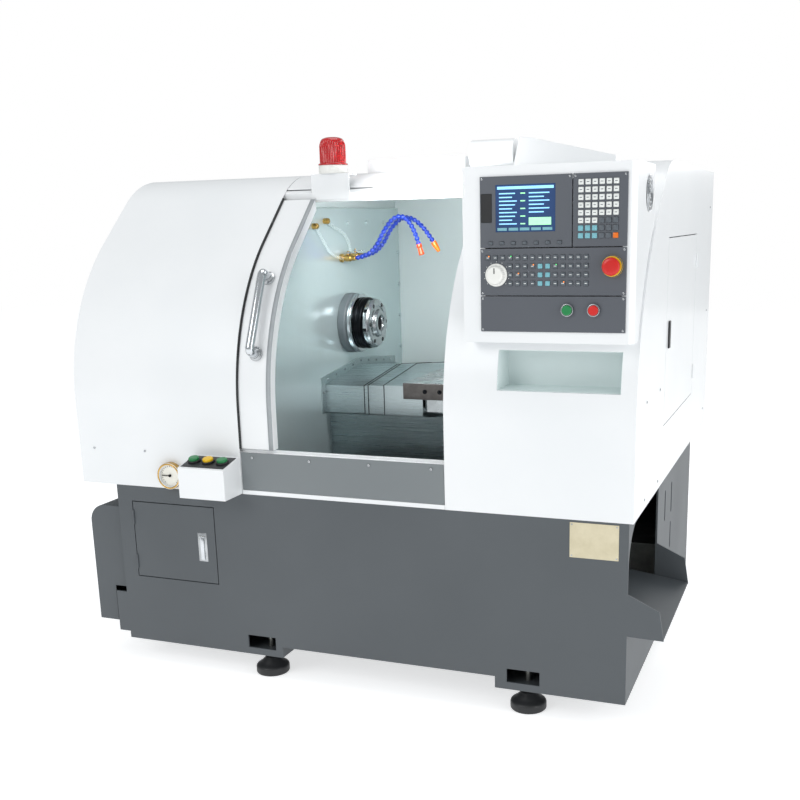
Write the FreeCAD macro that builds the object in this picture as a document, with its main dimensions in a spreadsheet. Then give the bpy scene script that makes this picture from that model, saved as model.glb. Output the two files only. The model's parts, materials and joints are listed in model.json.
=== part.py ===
import FreeCAD, Part
import math
import os
import re
import Sketcher

from FreeCAD import Placement, Rotation, Vector

# A small slant-fronted CNC turning lathe.  X runs along the spindle, to the right; Y runs from the
# operator to the back; Z is up.  The origin is on the floor, under the middle of the machine's box.

# Driving dimensions, in millimetres and degrees.
SIZES = {
    # enclosure
    "left_cover_width": 625, "stile_width": 119, "window_width": 575, "column_width": 562,
    "cover_depth": 1640, "cover_height": 1003, "sheet_wall": 3, "station_reach": 100,
    "bend_radius": 690, "brow_radius": 300, "rake_angle": 47.5, "rake_length": 203,
    "roof_start": 410, "header_start": 395, "header_rise": 910, "header_height": 38, "header_depth": 90,
    "sill_height": 138, "sill_depth": 60, "sill_strip": 14, "seam": 1,
    # base
    "foot_height": 80, "base_height": 552, "base_depth": 1300, "base_inset": 136, "end_inset": 12,
    "base_wall": 6, "floor_plate": 12, "deck_plate": 12, "left_leg": 602, "right_leg": 399,
    "skirt_rise": 37, "pocket_width": 103, "pocket_height": 44, "pocket_rise": 23,
    "foot_left": 526, "foot_right": 310, "foot_edge": 62, "foot_radius": 56, "stud_radius": 10,
    "end_cover_margin": 3, "end_cover_rise": 52, "end_cover_top": 470, "end_cover_corner": 60,
    "end_cover_setback": 15, "end_cover_depth": 900, "ear_width": 43, "ear_rise": 23, "ear_top": 168,
    "ear_gap": 13,
    "chute_reach": 93, "chute_width": 520, "chute_lip": 215, "cheek_top": 345, "opening_top": 530,
    "opening_corner": 120, "slot_radius": 9, "chute_run": 1150, "chute_fall": 300,
    "hatch_left": 59, "hatch_width": 314, "hatch_rise": 235, "hatch_height": 261, "door_gap": 3,
    "door_fold": 20, "hinge_radius": 3, "hinge_length": 50, "latch_width": 28, "latch_height": 86,
    "latch_thickness": 5, "latch_inset": 35,
    # sliding door
    "door_offset": 8, "door_depth": 30, "door_overlap": 20, "door_top_setback": 385, "pane_thickness": 5,
    "pane_lap": 15, "door_border": 80, "rail_height": 7, "rail_width": 12, "running_gap": 0.3,
    "handle_radius": 14, "handle_low": 449, "handle_high": 674, "handle_standoff": 45, "handle_margin": 54,
    # control pendant
    "pendant_inset": 79, "pendant_end": 6, "pendant_reach": 30, "pendant_depth": 280, "pendant_rise": 505,
    "pendant_height": 473, "pendant_chamfer": 14, "face_thickness": 4, "panel_left": 52,
    "display_width": 255, "display_height": 187, "keypad_width": 144, "panel_drop": 28,
    "middle_height": 125, "lower_height": 96, "panel_gap": 3, "screen_width": 166, "screen_height": 124,
    "key_pitch_x": 18.6, "key_pitch_z": 19.6, "key_size": 14, "key_proud": 3,
    "control_pitch_x": 21, "control_pitch_z": 23, "control_key": 13, "knob_radius": 31, "knob_height": 22,
    "estop_radius": 24, "button_radius": 14, "fan_radius": 46, "fan_depth": 22,
    "fan_setback": 155,
    # button station and gauge
    "station_left": 454, "station_width": 168, "station_height": 99, "station_rake": 22,
    "gauge_left": 363, "gauge_rise": 47, "gauge_radius": 44, "gauge_depth": 22, "station_button": 17,
    # niche and side door
    "niche_left": 162, "niche_width": 356, "niche_rise": 364, "niche_height": 114, "niche_depth": 120,
    "side_door_start": 504, "side_door_width": 668, "side_door_rise": 190, "side_door_height": 581,
    "cabinet_depth": 92, "liner_setback": 1148, "liner_offset": 62, "bar_opening": 31,
    # headstock and spindle
    "wall_setback": 25, "wall_plate": 12, "wall_plate_start": 75, "wall_plate_rise": 893,
    "spindle_setback": 660, "spindle_rise": 488, "headstock_length": 358, "headstock_width": 240,
    "headstock_over": 110, "bore_radius": 62, "shaft_radius": 42, "through_radius": 24,
    "bearing_width": 30, "running_fit": 0.05, "cap_radius": 107, "cap_length": 32, "flange_radius": 105,
    "flange_length": 18, "ring_radius": 92, "ring_length": 34, "face_radius": 87, "face_length": 28,
    "nose_radius": 46, "nose_length": 12, "pulley_radius": 70, "pulley_width": 50, "belt_thickness": 8,
    "motor_drop": 680, "motor_radius": 105, "motor_length": 240, "shaft_stub": 19,
    # slides
    "bed_height": 188, "bed_setback": 470, "bed_depth": 530, "bed_length": 890, "rail_size": 24,
    "saddle_start": 370, "saddle_length": 280, "saddle_setback": 445, "saddle_depth": 560,
    "saddle_thickness": 40, "block_height": 34, "block_width": 50, "table_length": 276,
    "table_start": 262, "table_depth": 458, "table_thickness": 42, "bar_thickness": 12,
    "bar_height": 52, "cover_front": 431, "cover_ridge": 730, "cover_back": 1036,
    "cover_skirt": 95, "shoulder_rise": 293, "ridge_rise": 35, "nest_step": 2.3, "way_sheet": 2,
    "inner_cover_length": 205, "mid_cover_start": 152, "mid_cover_length": 108,
    "outer_cover_start": 168, "outer_cover_length": 132, "saddle_cover_start": 228,
    "right_cover_start": 765, "saddle_cover_end": 930, "screw_radius": 12, "servo_size": 76,
    "servo_length": 130,
    # coolant
    "tank_length": 600, "tank_depth": 560, "tank_height": 230, "tank_wall": 3, "valve_out": 60,
    "valve_rise": 720, "hose_radius": 7, "lever_length": 34,
    # roof and beacon
    "hood_height": 42, "hood_length": 350, "hood_depth": 180, "drum_radius": 46, "drum_length": 150,
    "wedge_high": 92, "wedge_low": 24, "wedge_length": 333, "wedge_depth": 80, "beacon_radius": 46,
    "beacon_height": 88, "beacon_base_height": 27, "bracket_width": 138, "bracket_rise": 70,
}

# Places worked out from the driving dimensions.
PLACES = {
    "cover_left": "-(left_cover_width + stile_width + window_width + column_width + chute_reach) / 2",
    "door_line": "cover_left + left_cover_width",
    "window_left": "door_line + stile_width",
    "column_left": "window_left + window_width",
    "cover_right": "column_left + column_width",
    "front": "-(cover_depth + station_reach) / 2 + station_reach",
    "rear": "front + cover_depth",
    "base_top": "foot_height + base_height",
    "cover_top": "base_top + cover_height",
    "base_left": "cover_left + base_inset",
    "base_right": "cover_right - end_inset",
    "base_rear": "front + base_depth",
    "sill_top": "base_top + sill_height",
    "rake": "rake_angle * 1 deg",
    "bend_start": "cover_top - brow_radius * (1 - sin(rake)) - rake_length * cos(rake)"
                  " - bend_radius * sin(rake)",
    "bend_y": "front + bend_radius",
    "brow_y": "front + bend_radius * (1 - cos(rake)) + rake_length * sin(rake) + brow_radius * cos(rake)",
    "brow_z": "cover_top - brow_radius",
    "roof_under": "cover_top - sheet_wall",
    "door_left": "door_line - door_overlap - window_width",
    "door_bottom": "sill_top + rail_height + door_gap",
    "hatch_x": "base_left + hatch_left",
    "hatch_z": "foot_height + hatch_rise",
    "side_door_y": "front + side_door_start",
    "side_door_z": "base_top + side_door_rise",
    "pendant_left": "column_left + pendant_inset",
    "pendant_right": "cover_right - pendant_end",
    "pendant_front": "front - pendant_reach",
    "pendant_bottom": "base_top + pendant_rise",
    "pendant_top": "pendant_bottom + pendant_height",
    "display_x": "pendant_left + panel_left",
    "display_top": "pendant_top - panel_drop",
    "display_z": "display_top - display_height",
    "keypad_x": "display_x + display_width + panel_gap",
    "panel_right": "keypad_x + keypad_width",
    "middle_top": "display_z - panel_gap",
    "middle_z": "middle_top - middle_height",
    "lower_top": "middle_z - panel_gap",
    "lower_z": "lower_top - lower_height",
    "face_y": "pendant_front - face_thickness",
    "wall_x": "window_left - wall_setback",
    "plate_x": "wall_x - wall_plate",
    "spindle_y": "front + spindle_setback",
    "spindle_z": "base_top + spindle_rise",
    "motor_z": "spindle_z - motor_drop",
    "headstock_x": "plate_x - headstock_length",
    "cap_x": "wall_x + cap_length",
    "bed_top": "base_top + bed_height",
    "bed_y": "front + bed_setback",
    "rail_front": "bed_y + 80",
    "rail_back": "bed_y + bed_depth - 80",
    "saddle_x": "wall_x + saddle_start",
    "saddle_y": "front + saddle_setback",
    "saddle_z": "bed_top + block_height",
    "saddle_top": "saddle_z + saddle_thickness",
    "table_x": "saddle_x + 2",
    "table_y": "front + table_start",
    "table_z": "saddle_top + block_height",
    "screw_y": "bed_y + bed_depth / 2",
    "screw_z": "bed_top + block_height / 2 + 2",
    "cross_x": "saddle_x + saddle_length / 2",
    "cross_z": "saddle_top + block_height / 2 + 2",
    "cabinet_x": "cover_right - sheet_wall - cabinet_depth",
    "station_x": "cover_left + station_left",
    "station_top": "base_top + station_height + station_rake / 2",
    "gauge_x": "cover_left + gauge_left",
    "gauge_z": "base_top + gauge_rise",
    "valve_z": "base_top + valve_rise",
    "chute_z": "foot_height + chute_lip",
    "tank_x": "base_right - base_wall - 20 - tank_length",
    "tank_z": "foot_height + skirt_rise + floor_plate",
}

AXES = {
    "x": Rotation(Vector(0, 0, 1), Vector(1, 0, 0)),
    "y": Rotation(Vector(0, 0, 1), Vector(0, 1, 0)),
    "z": Rotation(),
}
NODES = []

doc = FreeCAD.newDocument("cnc_turning_lathe")
sheet = doc.addObject("Spreadsheet::Sheet", "sizes")
for row, (alias, number) in enumerate(SIZES.items(), start=1):
    sheet.set("A%d" % row, alias.replace("_", " "))
    sheet.set("B%d" % row, str(number))
    sheet.setAlias("B%d" % row, alias)
doc.recompute()


def formula(text):
    """Writes a formula of sizes and places as an expression on the sheet's cells."""
    def term(found):
        word = found.group()
        if word in PLACES:
            return "(" + formula(PLACES[word]) + ")"
        return "sizes." + word if word in SIZES else word
    return re.sub(r"[a-z]\w*", term, str(text))


def value(text):
    """The number that a formula gives now."""
    return float(sheet.evalExpression(formula(text) + " * 1.0"))


def bind(thing, **formulas):
    """Binds properties; Placement.Base.x is written as base_x."""
    for name, text in formulas.items():
        name = name.replace("base_", "Placement.Base.")
        thing.setExpression(name, formula(text))
    return thing


def place(thing, x=0, y=0, z=0):
    return bind(thing, base_x=x, base_y=y, base_z=z)


def box(name, x, y, z):
    """A block between two formulas along each axis."""
    block = place(doc.addObject("Part::Box", name), x[0], y[0], z[0])
    return bind(block, Length="(%s) - (%s)" % (x[1], x[0]), Width="(%s) - (%s)" % (y[1], y[0]),
                Height="(%s) - (%s)" % (z[1], z[0]))


def rod(name, axis, start, radius, length):
    """A cylinder from its start, along an axis."""
    cylinder = doc.addObject("Part::Cylinder", name)
    cylinder.Placement = Placement(Vector(), AXES[axis])
    return bind(place(cylinder, *start), Radius=radius, Height=length)


def compound(kind, name, parts):
    thing = doc.addObject(kind, name)
    setattr(thing, "Links" if kind == "Part::Compound" else "Shapes", list(parts))
    return thing


def fuse(name, *parts):
    return compound("Part::MultiFuse", name, parts) if len(parts) > 1 else parts[0]


def group(name, *parts):
    return compound("Part::Compound", name, parts)


def cut(name, base, *tools):
    thing = doc.addObject("Part::Cut", name)
    thing.Base = base
    thing.Tool = fuse(name + "_tools", *tools)
    return thing


def common(name, one, other):
    thing = doc.addObject("Part::Common", name)
    thing.Base = one
    thing.Tool = other
    return thing


def node(name, thing):
    """Keeps a finished sub-part under the name of its file."""
    thing.Label = name
    NODES.append(thing)
    return thing


def arc_middle(start, end, radius):
    """The middle of an arc that bulges to the left of its chord, or right for a negative radius."""
    chord = end - start
    side = Vector(-chord.y, chord.x, 0).normalize()
    if radius < 0:
        side = -side
    rise = abs(radius) - math.sqrt(max(radius * radius - chord.Length ** 2 / 4, 0))
    return (start + end) / 2 + side * rise


def draw(sketch, corners):
    """A closed outline.  A corner is (x, y), or (x, y, radius) where an arc runs on from it."""
    points = [Vector(value(corner[0]), value(corner[1]), 0) for corner in corners]
    first = sketch.GeometryCount
    for index, corner in enumerate(corners):
        start = points[index]
        end = points[(index + 1) % len(points)]
        if len(corner) == 3:
            middle = arc_middle(start, end, value(corner[2]))
            sketch.addGeometry(Part.Arc(start, middle, end), False)
        else:
            sketch.addGeometry(Part.LineSegment(start, end), False)
    ends = []
    for index, start in enumerate(points):
        near = 1 if sketch.getPoint(first + index, 1).isEqual(start, 1e-4) else 2
        ends.append((near, 3 - near))
    for index, corner in enumerate(corners):
        here = first + index
        before = first + (index - 1) % len(corners)
        start = ends[index][0]
        sketch.addConstraint(Sketcher.Constraint(
            "Coincident", before, ends[index - 1][1], here, start))
        for kind, text in (("DistanceX", corner[0]), ("DistanceY", corner[1])):
            number = sketch.addConstraint(Sketcher.Constraint(kind, here, start, value(text)))
            sketch.setExpression("Constraints[%d]" % number, formula(text))
        if len(corner) == 3:
            radius = "abs(%s)" % corner[2]
            number = sketch.addConstraint(Sketcher.Constraint("Radius", here, value(radius)))
            sketch.setExpression("Constraints[%d]" % number, formula(radius))


def draw_circle(sketch, x, y, radius):
    centre = Vector(value(x), value(y), 0)
    here = sketch.addGeometry(Part.Circle(centre, Vector(0, 0, 1), value(radius)), False)
    for kind, text in (("DistanceX", x), ("DistanceY", y)):
        number = sketch.addConstraint(Sketcher.Constraint(kind, here, 3, value(text)))
        sketch.setExpression("Constraints[%d]" % number, formula(text))
    number = sketch.addConstraint(Sketcher.Constraint("Radius", here, value(radius)))
    sketch.setExpression("Constraints[%d]" % number, formula(radius))


def new_sketch(body, name, plane):
    sketch = body.newObject("Sketcher::SketchObject", name + "_sketch")
    origin = [thing for thing in body.Origin.OriginFeatures if thing.Role == plane][0]
    sketch.AttachmentSupport = [(origin, "")]
    sketch.MapMode = "FlatFace"
    return sketch


def plate(name, plane, at, depth, outline=None, holes=(), circles=()):
    """A flat piece of an outline.  On YZ it grows along +X, on XZ along -Y, on XY along +Z."""
    body = doc.addObject("PartDesign::Body", name)
    sketch = new_sketch(body, name, plane + "_Plane")
    if outline:
        draw(sketch, outline)
    for hole in holes:
        draw(sketch, hole)
    for circle in circles:
        draw_circle(sketch, *circle)
    pad = body.newObject("PartDesign::Pad", name + "_pad")
    pad.Profile = sketch
    bind(pad, Length=depth)
    side = {"YZ": "x", "XZ": "y", "XY": "z"}[plane]
    return bind(body, **{"base_" + side: at})


def turned(name, axis, at, outline):
    """A turned piece.  Its outline is (along, radius) for an axis X, or (radius, along) for Y or Z."""
    body = doc.addObject("PartDesign::Body", name)
    sketch = new_sketch(body, name, "XY_Plane" if axis == "y" else "XZ_Plane")
    draw(sketch, outline)
    turn = body.newObject("PartDesign::Revolution", name + "_turn")
    turn.Profile = sketch
    turn.ReferenceAxis = (sketch, ["H_Axis" if axis == "x" else "V_Axis"])
    turn.Angle = 360
    return place(body, *at)


def span(low, size):
    return (low, "%s + (%s)" % (low, size))


def about(middle, half):
    return ("%s - (%s)" % (middle, half), "%s + (%s)" % (middle, half))


def rectangle(left, right, low, high):
    return [(left, low), (right, low), (right, high), (left, high)]


def slant(offset, low="base_top", back="rear"):
    """The enclosure's side view: upright, a long bend, a straight rake, a brow and a flat roof."""
    bend = "bend_radius - (%s)" % offset
    brow = "brow_radius - (%s)" % offset
    return [
        ("front + (%s)" % offset, low),
        ("front + (%s)" % offset, "bend_start", bend),
        ("bend_y - (%s) * cos(rake)" % bend, "bend_start + (%s) * sin(rake)" % bend),
        ("brow_y - (%s) * cos(rake)" % brow, "brow_z + (%s) * sin(rake)" % brow, brow),
        ("brow_y", "cover_top - (%s)" % offset),
        (back, "cover_top - (%s)" % offset),
        (back, low),
    ]


def slant_block(name, offset, x, low="base_top", back="rear"):
    return plate(name, "YZ", x[0], "(%s) - (%s)" % (x[1], x[0]), slant(offset, low, back))


def slant_shell(name, outer, inner, x):
    return cut(name, slant_block(name + "_outer", outer, x), slant_block(name + "_inner", inner, x))


# ---------------------------------------------------------------- base

def base_frame():
    """The welded base: two legs, a raised skirt, a deck, and a chip opening in the right end."""
    inner_y = ("front + base_wall", "base_rear - base_wall")
    outer = box("base_outer", ("base_left", "base_right"), ("front", "base_rear"), ("foot_height", "base_top"))
    left_end = "base_left + left_leg"
    right_start = "base_right - right_leg"
    floor = "foot_height + floor_plate"
    raised = "foot_height + skirt_rise + floor_plate"
    tools = [
        box("base_room", ("base_left + base_wall", "base_right - base_wall"), inner_y,
            (raised, "base_top - deck_plate")),
        box("left_leg_room", ("base_left + base_wall", left_end + " - base_wall"), inner_y, (floor, raised)),
        box("right_leg_room", (right_start + " + base_wall", "base_right - base_wall"), inner_y,
            (floor, raised)),
        box("skirt_cut", (left_end, right_start), ("front - 1", "base_rear + 1"),
            ("foot_height - 1", "foot_height + skirt_rise")),
        box("hatch_cut", ("hatch_x - door_gap", "hatch_x + hatch_width + door_gap"),
            ("front - 1", "front + base_wall + 1"),
            ("hatch_z - door_gap", "hatch_z + hatch_height + door_gap")),
        box("chip_cut", ("wall_x + 10", "cabinet_x - 33"), ("front + sill_depth + 5", "front + 400"),
            ("base_top - deck_plate - 1", "base_top + 1")),
        box("belt_cut", ("headstock_x - pulley_width - 30", "headstock_x - 3"),
            about("spindle_y", "pulley_radius + 30"), ("base_top - deck_plate - 1", "base_top + 1")),
        plate("end_cut", "YZ", "base_right - base_wall - 1", "base_wall + 2", [
            ("front + base_wall", "chute_z + 6"),
            ("front + base_wall", "foot_height + opening_top - opening_corner", "opening_corner"),
            ("front + base_wall + opening_corner", "foot_height + opening_top"),
            ("front + chute_width", "foot_height + opening_top"),
            ("front + chute_width", "chute_z + 6"),
        ]),
    ]
    for index, (y, low, high) in enumerate(((665, 386, 476), (810, 380, 473), (805, 250, 330))):
        tools.append(end_slot("end_slot_%d" % index, "front + %d" % y, "foot_height + %d" % low,
                              "foot_height + %d" % high))
    for side, x in foot_places("x"):
        tools.append(box("pocket_" + side, about(x, "pocket_width / 2"), ("front - 1", "base_rear + 1"),
                         span("foot_height + pocket_rise", "pocket_height")))
        for end, y in foot_places("y"):
            tools.append(rod("stud_hole_%s_%s" % (side, end), "z", (x, y, "foot_height - 1"),
                             "stud_radius + 1", "floor_plate + 2"))
    ear = box("front_ear", ("base_left - ear_width", "base_left"), span("front", "base_wall"),
              ("foot_height + ear_rise", "foot_height + ear_top"))
    return node("base_frame", fuse("base_with_cheeks", cut("base_cut", outer, *tools), ear,
                                   cheek("front_cheek", "front + base_wall"),
                                   cheek("rear_cheek", "front + chute_width + base_wall")))


def end_slot(name, y, low, high):
    """An upright slot with round ends through the base's right end wall."""
    middle = y + " + slot_radius"
    return plate(name, "YZ", "base_right - base_wall - 1", "base_wall + 2", [
        (y, low), (y, high, "slot_radius"), (middle, high + " + slot_radius", "slot_radius"),
        (y + " + 2 * slot_radius", high), (y + " + 2 * slot_radius", low, "slot_radius"),
        (middle, low + " - slot_radius", "slot_radius")])


def cheek(name, at):
    """A sloped side plate of the chip chute, which runs out past the base's right end."""
    return plate(name, "XZ", at, "base_wall", [
        ("base_right - base_wall", "chute_z"), ("base_right + chute_reach + end_inset", "chute_z - 3"),
        ("base_right + chute_reach + end_inset - 14", "chute_z + 84"),
        ("base_right - base_wall", "foot_height + cheek_top"),
    ])


def foot_places(axis):
    if axis == "x":
        return (("left", "base_left + foot_left"), ("right", "base_right - foot_right"))
    return (("front", "front + foot_edge"), ("rear", "base_rear - foot_edge"))


def levelling_feet():
    """Four round pads, each turned in one piece with its jam collar and stud."""
    feet = []
    for side, x in foot_places("x"):
        for end, y in foot_places("y"):
            feet.append(turned("foot_%s_%s" % (side, end), "z", (x, y, 0), [
                (0, 0), ("foot_radius - 4", 0), ("foot_radius", 6), ("foot_radius", 24),
                ("foot_radius - 22", 44), ("stud_radius + 12", 50), ("stud_radius + 12", "foot_height"),
                ("stud_radius", "foot_height"), ("stud_radius", "foot_height + floor_plate + 34"),
                (0, "foot_height + floor_plate + 34")]))
    return node("levelling_feet", group("feet", *feet))


def left_end_cover():
    """The set-back sheet cover on the left end of the base, notched round the base's ear."""
    low = "foot_height + end_cover_rise"
    high = "foot_height + end_cover_top"
    left = "cover_left + end_cover_margin"

    def block(name, wall):
        corner = "end_cover_corner - (%s)" % wall
        return plate(name, "XZ", "front + end_cover_depth - (%s)" % wall,
                     "end_cover_depth - end_cover_setback - 2 * (%s)" % wall, [
            (left + " + (%s)" % wall, low + " + (%s)" % wall), ("base_left", low + " + (%s)" % wall),
            ("base_left", high + " - (%s)" % wall), (left + " + end_cover_corner", high + " - (%s)" % wall,
                                                     "-(%s)" % corner),
            (left + " + (%s)" % wall, high + " - end_cover_corner")])

    notch = box("ear_notch", ("base_left - ear_width - ear_gap", "base_left + 1"),
                ("front", "front + end_cover_setback + 30"), (low + " - 1", "foot_height + ear_top + ear_gap"))
    return node("left_end_cover", cut("end_cover", block("end_cover_outer", 0),
                                      block("end_cover_inner", "sheet_wall"), notch))


def chip_chute():
    """The folded steel floor that chips slide down, out of the machine's right end, and a deflector."""
    end = "base_right + chute_reach + end_inset"
    bend = "base_right - 200"
    floor = plate("chute_floor", "XZ", "front + chute_width", "chute_width - base_wall", [
        (end, "chute_z"), (end, "chute_z + sheet_wall"), (bend, "chute_z + 45 + sheet_wall"),
        ("base_right - chute_run", "chute_z + chute_fall - 20"),
        ("base_right - chute_run", "chute_z + chute_fall - 20 - sheet_wall"), (bend, "chute_z + 45")])
    deflector = plate("chute_deflector", "YZ", "column_left - 150", "200", [
        ("front + sill_depth + 5", "sill_top - 8"), ("front + sill_depth + 5", "sill_top - 11"),
        ("front + 180", "base_top + 73"), ("front + 180", "base_top + 76")])
    leg = box("deflector_leg", span("column_left - 150", "200"), span("front + sill_depth + 5", "3"),
              ("base_top - 2", "sill_top - 11"))
    return node("chip_chute", group("chute", floor, fuse("deflector", deflector, leg)))


def hatch_door(name, latch_name):
    """The front access door, a folded pan with two barrel hinges at its left edge, and its pull latch."""
    x = span("hatch_x", "hatch_width")
    z = span("hatch_z", "hatch_height")
    pan = cut("hatch_pan", box("hatch_outer", x, span("front", "door_fold"), z),
              box("hatch_inner", ("hatch_x + 2", "hatch_x + hatch_width - 2"),
                  ("front + 2", "front + door_fold + 1"), ("hatch_z + 2", "hatch_z + hatch_height - 2")))
    barrels = [rod("hatch_barrel_%d" % (10 * at), "z", ("hatch_x", "front - hinge_radius + 0.5",
                                                 "hatch_z + hatch_height * %s" % at),
                   "hinge_radius", "hinge_length") for at in (0.1, 0.7)]
    node(name, fuse("hatch", pan, *barrels))
    node(latch_name, box("hatch_lever", span("hatch_x + hatch_width - latch_inset - latch_width",
                                             "latch_width"),
                         ("front - latch_thickness", "front - running_gap"),
                         span("hatch_z + 80", "latch_height")))


# ---------------------------------------------------------------- enclosure

def left_cover():
    """The fixed left cover: one folded wrap, and its end wall with the hole that bar stock is fed through."""
    x = ("cover_left", "door_line - seam")
    inner = ("cover_left + sheet_wall", "door_line")
    bar_hole = rod("bar_hole", "x", ("cover_left - 1", "spindle_y", "spindle_z"), "bar_opening", "sheet_wall + 2")
    return node("left_cover", cut("left_wrap", slant_block("left_outer", 0, x),
                                  slant_block("left_inner", "sheet_wall", inner, "base_top - 1", "rear + 1"),
                                  bar_hole))


def right_cover():
    """The right column with its end wall, the niche cut in its front and the side door's opening."""
    x = ("column_left", "cover_right")
    inner = ("column_left - 1", "cover_right - sheet_wall")
    niche = box("niche_cut", span("column_left + niche_left", "niche_width"), ("front - 1", "front + 100"),
                span("base_top + niche_rise", "niche_height"))
    door = box("side_door_cut", ("cover_right - sheet_wall - 1", "cover_right + 1"),
               ("side_door_y - door_gap", "side_door_y + side_door_width + door_gap"),
               ("side_door_z - door_gap", "side_door_z + side_door_height + door_gap"))
    return node("right_cover", cut("right_wrap", slant_block("right_outer", 0, x),
                                   slant_block("right_inner", "sheet_wall", inner, "base_top - 1", "rear + 1"),
                                   niche, door))


def roof_panel():
    """The roof between the two covers, and the header beam that guides the door's upper edge."""
    x = ("door_line + seam", "column_left - seam")
    shell = slant_shell("roof_shell", 0, "sheet_wall", x)
    clear = box("roof_trim", ("cover_left", "cover_right"), ("front - 1", "front + roof_start"),
                ("base_top - 1", "cover_top + 1"))
    low = box("roof_low_trim", ("cover_left", "cover_right"), ("front - 1", "rear - sheet_wall"),
              ("base_top - 1", "base_top + header_rise"))
    beam = box("header_bar", ("cover_left + sheet_wall", "cabinet_x"),
               span("front + header_start", "header_depth"), span("base_top + header_rise", "header_height"))
    beam = common("header_trimmed", beam, slant_block("header_room", "sheet_wall", ("cover_left", "cover_right")))
    beam = cut("header_beam", beam,
               slant_block("header_left_notch", "liner_offset", ("plate_x - sheet_wall", "plate_x")),
               slant_block("header_right_notch", "liner_offset", ("cabinet_x - sheet_wall", "cabinet_x")))
    back = box("roof_back_trim", ("cover_left", "cover_right"), ("rear - sheet_wall", "rear + 1"),
               ("base_top - 1", "cover_top - sheet_wall"))
    return node("roof_panel", group("roof", cut("roof_cut", shell, clear, low, back), beam))


def rear_cover():
    """The flat back sheet with two rows of louvre slots."""
    sheet_back = box("back_sheet", ("cover_left + sheet_wall", "cover_right - sheet_wall"),
                     ("rear - sheet_wall", "rear"), ("base_top", "roof_under"))
    slots = []
    for side, x in (("left", "cover_left + 300"), ("right", "cover_right - 500")):
        for row in range(6):
            slots.append(box("slot_%s_%d" % (side, row), span(x, "200"), ("rear - sheet_wall - 1", "rear + 1"),
                             span("base_top + 150 + %d" % (row * 26), "8")))
    floor = box("overhang_floor", ("cover_left + sheet_wall", "cover_right - sheet_wall"),
                ("base_rear", "rear - sheet_wall"), span("base_top", "sheet_wall"))
    return node("rear_cover", group("back", cut("back_cut", sheet_back, *slots), floor))


def sill():
    """The sill under the window with the door's rail, and the brushed plate on its front."""
    body = box("sill_body", ("cover_left + sheet_wall + seam", "column_left - seam"),
               ("front + sheet_wall + seam", "front + sill_depth"), ("base_top", "sill_top"))
    hollow = box("sill_hollow", ("cover_left", "column_left + 1"),
                 ("front + sheet_wall + seam + 3", "front + sill_depth + 1"), ("base_top + 3", "sill_top - 3"))
    strip = box("sill_strip", ("door_line + seam", "column_left - seam"),
                ("front", "front + sheet_wall + seam"), span("base_top", "sill_strip"))
    rail = box("door_rail", ("cover_left + sheet_wall + seam", "column_left - seam"),
               about("front + door_offset + door_depth / 2", "rail_width / 2"), span("sill_top", "rail_height"))
    node("sill_frame", fuse("sill_all", cut("sill_channel", body, hollow), strip, rail))
    node("sill_panel", box("sill_plate", ("door_line + 2 * seam", "column_left - 2 * seam"),
                           ("front + seam", "front + sheet_wall + seam"),
                           ("base_top + sill_strip + seam", "sill_top")))


def inner_liners():
    """The bay walls left and right of the work area, its rear wall, and the niche's folded tray."""
    room = slant("liner_offset", "base_top", "front + liner_setback")
    hole = (("spindle_y", "spindle_z", "bore_radius + 60"),)
    left = plate("left_bay_wall", "YZ", "plate_x - sheet_wall", "sheet_wall", room, circles=hole)
    niche = niche_block("niche_outer", 0)
    right = cut("right_bay", plate("right_bay_wall", "YZ", "cabinet_x - sheet_wall", "sheet_wall", room),
                niche_block("niche_clearance", 0))
    back = box("rear_liner", ("plate_x - sheet_wall", "cabinet_x"),
               span("front + liner_setback", "sheet_wall"), ("base_top", "cover_top - liner_offset"))
    hollow = niche_block("niche_inner", 2)
    tray = common("niche_tray", cut("niche_shell", niche, hollow),
                  slant_block("niche_face", "sheet_wall", ("column_left", "cover_right")))
    return node("inner_liners", group("liners", left, right, back, tray))


def niche_block(name, wall):
    """The niche's outside, or its inside a wall smaller."""
    return box(name, ("column_left + niche_left + %s" % wall,
                      "column_left + niche_left + niche_width - %s" % wall),
               ("front + 1 - %s" % wall, "front + niche_depth - %s" % wall),
               ("base_top + niche_rise + %s" % wall, "base_top + niche_rise + niche_height - %s" % wall))


def wall_plate():
    """The bolted steel plate that the spindle nose comes through."""
    steel = plate("wall_steel", "YZ", "plate_x", "wall_plate",
                  rectangle("front + wall_plate_start", "front + liner_setback", "base_top",
                            "base_top + wall_plate_rise"),
                  circles=(("spindle_y", "spindle_z", "bore_radius + 30"),))
    room = slant_block("wall_outline", "liner_offset", ("plate_x - 1", "wall_x + 1"), "base_top - 1")
    bolts = []
    places = [("front + 512 + %d" % (162 * step), "base_top + 839") for step in range(4)]
    places += [("front + 1130", "base_top + %d" % (353 + 123 * step)) for step in range(4)]
    for index, (y, z) in enumerate(places):
        bolts.append(rod("wall_bolt_%d" % index, "x", ("wall_x", y, z), "7", "6"))
    return node("wall_plate", group("wall", common("wall_trimmed", steel, room), *bolts))


def name_plate():
    """The bare metal plate on the base's front."""
    return node("name_plate", box("bare_plate", span("base_right - 170", "142"), ("front - 1", "front"),
                                  span("base_top - 112", "105")))


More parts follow.
